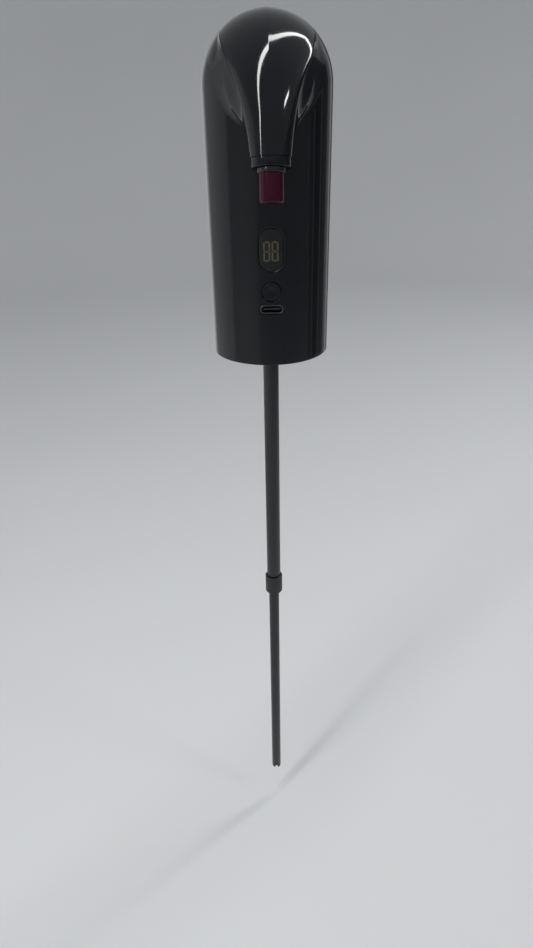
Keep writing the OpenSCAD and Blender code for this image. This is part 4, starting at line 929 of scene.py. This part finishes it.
# %% Stopper
PLUG_R, PLUG_LEN, SOCKET_DEPTH, PLUG_TOP, SPIGOT_R = 9.3, 21.5, 20.5, 23.0, 6.25
RIBS, RIB_H, RIB_ROUND, RIB_SHARE, RIB_START = 4, 1.1, 0.5, 0.5, 0.1
plug_low, pitch, root = SOCKET_DEPTH - PLUG_LEN, PLUG_LEN / (RIBS + RIB_SHARE), PLUG_R - RIB_H
outline = [[[SPIGOT_R, plug_low], [root, plug_low]]]
for k in range(RIBS):
    z = plug_low + (k + RIB_START) * pitch
    rib_top = z + pitch * RIB_SHARE
    outline.append(np.concatenate([[[root, z]], corner(PLUG_R - RIB_ROUND, z + RIB_ROUND, RIB_ROUND, -90),
                                   corner(PLUG_R - RIB_ROUND, rib_top - RIB_ROUND, RIB_ROUND, 0),
                                   [[root, rib_top]]]))
outline.append([[root, PLUG_TOP], [SPIGOT_R, PLUG_TOP]])
make_piece("stopper_plug", [ring_loop(np.concatenate(outline))], "head", dark_silicone, ["bottle_stopper"])

# %% [markdown]
# ## The solids that stay
# Everything inside, and the plain base, keeps its CAD solid and only gets its finish. New skins for all of
# them would take long and hardly show. A solid's mesh isn't touched, only the material in its slot.

# %% The solids that stay
kept = {
    etched_nylon: ["base_cover", "neck_sleeve", "usb_tongue", "button_switch"],
    acetal: ["aerator_insert", "switch_plunger", "eccentric", "wobble_plate", "valve_plate",
             "motor_end_cap"],
    grey_abs: ["deck_plate", "manifold", "inner_chassis", "top_bracket", "pump_body", "pump_head"],
    screw_steel: ["board_screws", "base_screws", "chassis_screws", "bracket_screws", "pump_screws",
                  "crank_pin"],
    grey_silicone: ["manifold_gasket", "gland_seal"],
    clear_silicone: ["air_hose", "wine_hose"],
    dark_silicone: ["mouth_washer", "diaphragm"],
    cell_sleeve: ["battery_cell"],
    red_wire: ["battery_leads"],
    black_wire: ["motor_leads"],
    can_steel: ["motor_can"],
    ferrite: ["motor_magnets"],
    copper: ["motor_rotor"],
    solder_mask: ["control_board"],
    display_black: ["display_module"],
    painted_glow_bars: ["display_digits"],
}
for finish, names in kept.items():
    for name in names:
        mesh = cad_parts[name].data
        mesh.materials.clear()
        mesh.materials.append(finish)
print(sum(len(names) for names in kept.values()), "solids keep their shape")

# %% [markdown]
# ## Stage
# A plain pale floor lies a little under the tube's foot and rounds up into a wall all the way round. A plane
# would be simpler, but its far edge would draw a horizon across the picture. It is turned like the other
# round shapes, with its finish on the same kind of noise, only broader.

# %% Stage
FLOOR_Z, FLOOR_R, COVE_R, WALL_TOP, SIGHT_TOP = -295.0, 1500.0, 600.0, 700.0, 3000.0
FLOOR_RINGS, PAINT_MM = 11, 400
cove = np.linspace(0, np.pi / 2, 25)
stage_r = np.concatenate([np.linspace(0, FLOOR_R, FLOOR_RINGS + 1)[:-1], FLOOR_R + COVE_R * np.sin(cove),
                          [FLOOR_R + COVE_R]])
stage_z = np.concatenate([np.full(FLOOR_RINGS, FLOOR_Z), FLOOR_Z + COVE_R * (1 - np.cos(cove)), [WALL_TOP]])
# Emulsion paint is matt, and the roller leaves it faintly uneven
pale, tree, shader = new_finish("pale_emulsion_paint_rolled")
place = add(tree, "ShaderNodeTexCoord").outputs["Object"]
drift = add(tree, "ShaderNodeTexNoise", {"Vector": place}, in_Scale=1 / (PAINT_MM * MM), in_Detail=2.0)
tone = add(tree, "ShaderNodeValToRGB", {"Fac": drift.outputs["Fac"]})
tone.color_ramp.elements[0].color = shade("#d4d5d7")
tone.color_ramp.elements[1].color = shade("#dadbdd")
tree.links.new(tone.outputs["Color"], shader.inputs["Base Color"])
shader.inputs["Roughness"].default_value = 0.8
upper_r, upper_z = np.full(2, FLOOR_R + COVE_R), np.array([WALL_TOP, SIGHT_TOP])
for name, radii, heights in (("floor_and_wall", stage_r, stage_z), ("upper_wall", upper_r, upper_z)):
    points = turned(radii, heights, np.linspace(0, 2 * np.pi, 97)[::-1])
    mesh = bpy.data.meshes.new(name)
    mesh.from_pydata(points.reshape(-1, 3) * MM, [], cells(*points.shape[:2]).tolist())
    mesh.shade_smooth()
    mesh.materials.append(pale)
    piece = bpy.data.objects.new(name, mesh)
    bpy.context.scene.collection.objects.link(piece)
# The last one, the wall's upper part, is there for the eye only: the sky's light still comes in through it
piece.visible_diffuse, piece.visible_glossy, piece.visible_transmission, piece.visible_shadow = [False] * 4
print("the stage is", 2 * (FLOOR_R + COVE_R) * MM, "m across")

# %% [markdown]
# ## Lamps
# Glossy black shows little of its own colour, so its shape is read from what it mirrors. Round lamps would
# show as dots on it. Instead a long narrow softbox hangs overhead and runs from front left to back right. The
# hood bends it into a line down the beak on one side and an arc over the brow on the other. A small lamp on
# the right gives the short dash.

# %% Lamps
def soft_light(name, place, target, size, radiance, turn=0.0):
    """A rectangular lamp that faces its target; its power is pi times its radiance times its area."""
    lamp = bpy.data.lights.new(name, "AREA")
    lamp.shape, lamp.size, lamp.size_y = "RECTANGLE", size[0] * MM, size[1] * MM
    lamp.energy = radiance * np.pi * size[0] * size[1] * MM * MM
    light = bpy.data.objects.new(name, lamp)
    facing = (Vector(target) - Vector(place)).to_track_quat("-Z", "Y").to_matrix().to_4x4()
    light.matrix_world = Matrix.Translation(Vector(place) * MM) @ facing @ Matrix.Rotation(turn, 4, "Z")
    light.visible_camera = False
    bpy.context.scene.collection.objects.link(light)


STRIP_Z = 560
strip_corners = np.array([(-1250, -1030), (-400, -460), (0, -20), (408, 319), (1500, 640)])
# Width and radiance of each part. The right half is dimmer, since the brow mirrors it at a flatter angle and
# so more strongly
strip_parts = ((40, 25.0), (36, 25.0), (34, 17.0), (40, 17.0))
for k, (width, radiance) in enumerate(strip_parts):
    middle, way = strip_corners[k:k + 2].mean(0), strip_corners[k + 1] - strip_corners[k]
    soft_light(f"overhead_strip_{k}", (*middle, STRIP_Z), (*middle, 0), (np.hypot(*way), width), radiance,
               math.atan2(way[1], way[0]))
soft_light("right_lamp", place=(793, -391, 771), target=(0, 0, 90), size=(200, 60), radiance=38.0)
print("the strip has", len(strip_parts), "parts and hangs", STRIP_Z, "mm up")

# %% [markdown]
# ## Screens
# The head's upright walls mirror what stands around it. More lamps there would light the wall and the floor
# too, and their edges would all be hard. So curved cloths are hung that only reflections and see-through
# pieces meet. Each glows by an attribute that fades to its edges as fast or slowly as it should. Those on the
# left grade that flank, a dark flag and thin slats break up the right one, and two behind the head draw light
# lines along its sides.

# %% Screens
SCREEN_R, SCREEN_LOW, SCREEN_HIGH, FLAG_BEHIND = 600.0, -290.0, 430.0, 50
SCREEN_COLS, SCREEN_ROWS, LOW_FADE, HIGH_FADE = 41, 25, 0.1, 0.3
# The cloth adds its own glow to a share of the light from behind it
cloth, tree, shader = new_finish("lit_white_cloth")
strength = add(tree, "ShaderNodeAttribute", attribute_name="radiance")
glow = add(tree, "ShaderNodeEmission", {"Strength": strength.outputs["Fac"]})
passes = add(tree, "ShaderNodeAttribute", attribute_name="passes")
clear = add(tree, "ShaderNodeBsdfTransparent", {"Color": passes.outputs["Fac"]})
both = add(tree, "ShaderNodeAddShader", {0: glow.outputs["Emission"], 1: clear.outputs["BSDF"]})
tree.links.new(both.outputs["Shader"], tree.nodes["Material Output"].inputs["Surface"])


def soft_screen(name, first, last, radiance, veil, first_fade, last_fade, r=SCREEN_R):
    """A curved cloth from angle first to last round the axis, that glows and dims what is behind it by veil.

    A fade is the share of the width over which its edge eases in.
    """
    u, v = np.meshgrid(np.linspace(0, 1, SCREEN_COLS), np.linspace(0, 1, SCREEN_ROWS), indexing="ij")
    angle = np.radians(first + (last - first) * u)
    height = SCREEN_LOW + (SCREEN_HIGH - SCREEN_LOW) * v
    points = np.stack([r * np.sin(angle), -r * np.cos(angle), height], -1)
    level = ease(u / first_fade) * ease((1 - u) / last_fade) * ease(v / LOW_FADE) * ease((1 - v) / HIGH_FADE)
    mesh = bpy.data.meshes.new(name)
    mesh.from_pydata(points.reshape(-1, 3) * MM, [], cells(SCREEN_COLS, SCREEN_ROWS).tolist())
    for key, values in (("radiance", radiance * level), ("passes", 1 - veil * level)):
        values = values.ravel().astype(np.float32)
        mesh.attributes.new(key, "FLOAT", "POINT").data.foreach_set("value", values)
    mesh.materials.append(cloth)
    screen = bpy.data.objects.new(name, mesh)
    screen.visible_camera, screen.visible_diffuse, screen.visible_shadow = False, False, False
    bpy.context.scene.collection.objects.link(screen)


# Angles in degrees from the front, positive to the right, then radiance, veil and the fades of the two edges
soft_screen("front_left_screen", -22, -80, 0.14, 0, 0.04, 0.1)
soft_screen("left_screen", -74, -150, 0.5, 0, 0.08, 0.7)
soft_screen("right_flag", 62, 172, 0, 0.7, 0.3, 0.1, SCREEN_R + FLAG_BEHIND)
soft_screen("left_rim_screen", -132, -178, 0.5, 0, 0.4, 0.5)
soft_screen("right_rim_screen", 134, 154, 0.45, 0, 0.4, 0.5)
slats = ((72, 76, 0.1), (84, 90, 0.16), (104, 108, 0.2), (124, 140, 0.2))
for k, (first, last, radiance) in enumerate(slats):
    soft_screen(f"right_slat_{k}", first, last, radiance, 0, 0.25, 0.4)
print("the screens stand", SCREEN_R, "mm away")

# %% [markdown]
# ## World
# An even grey sky fills the shadows. An image of some place could light the object too, but then that
# place would show in the black. The view transform is Standard, so a colour renders about as it is written.

# %% World
SKY_STRENGTH = 0.75
scene = bpy.context.scene
scene.view_settings.view_transform = "Standard"
world = bpy.data.worlds.new("studio")
scene.world = world
world.use_nodes = True
sky = world.node_tree.nodes["Background"]
sky.inputs["Color"].default_value = shade("#c9cbcc")
sky.inputs["Strength"].default_value = SKY_STRENGTH
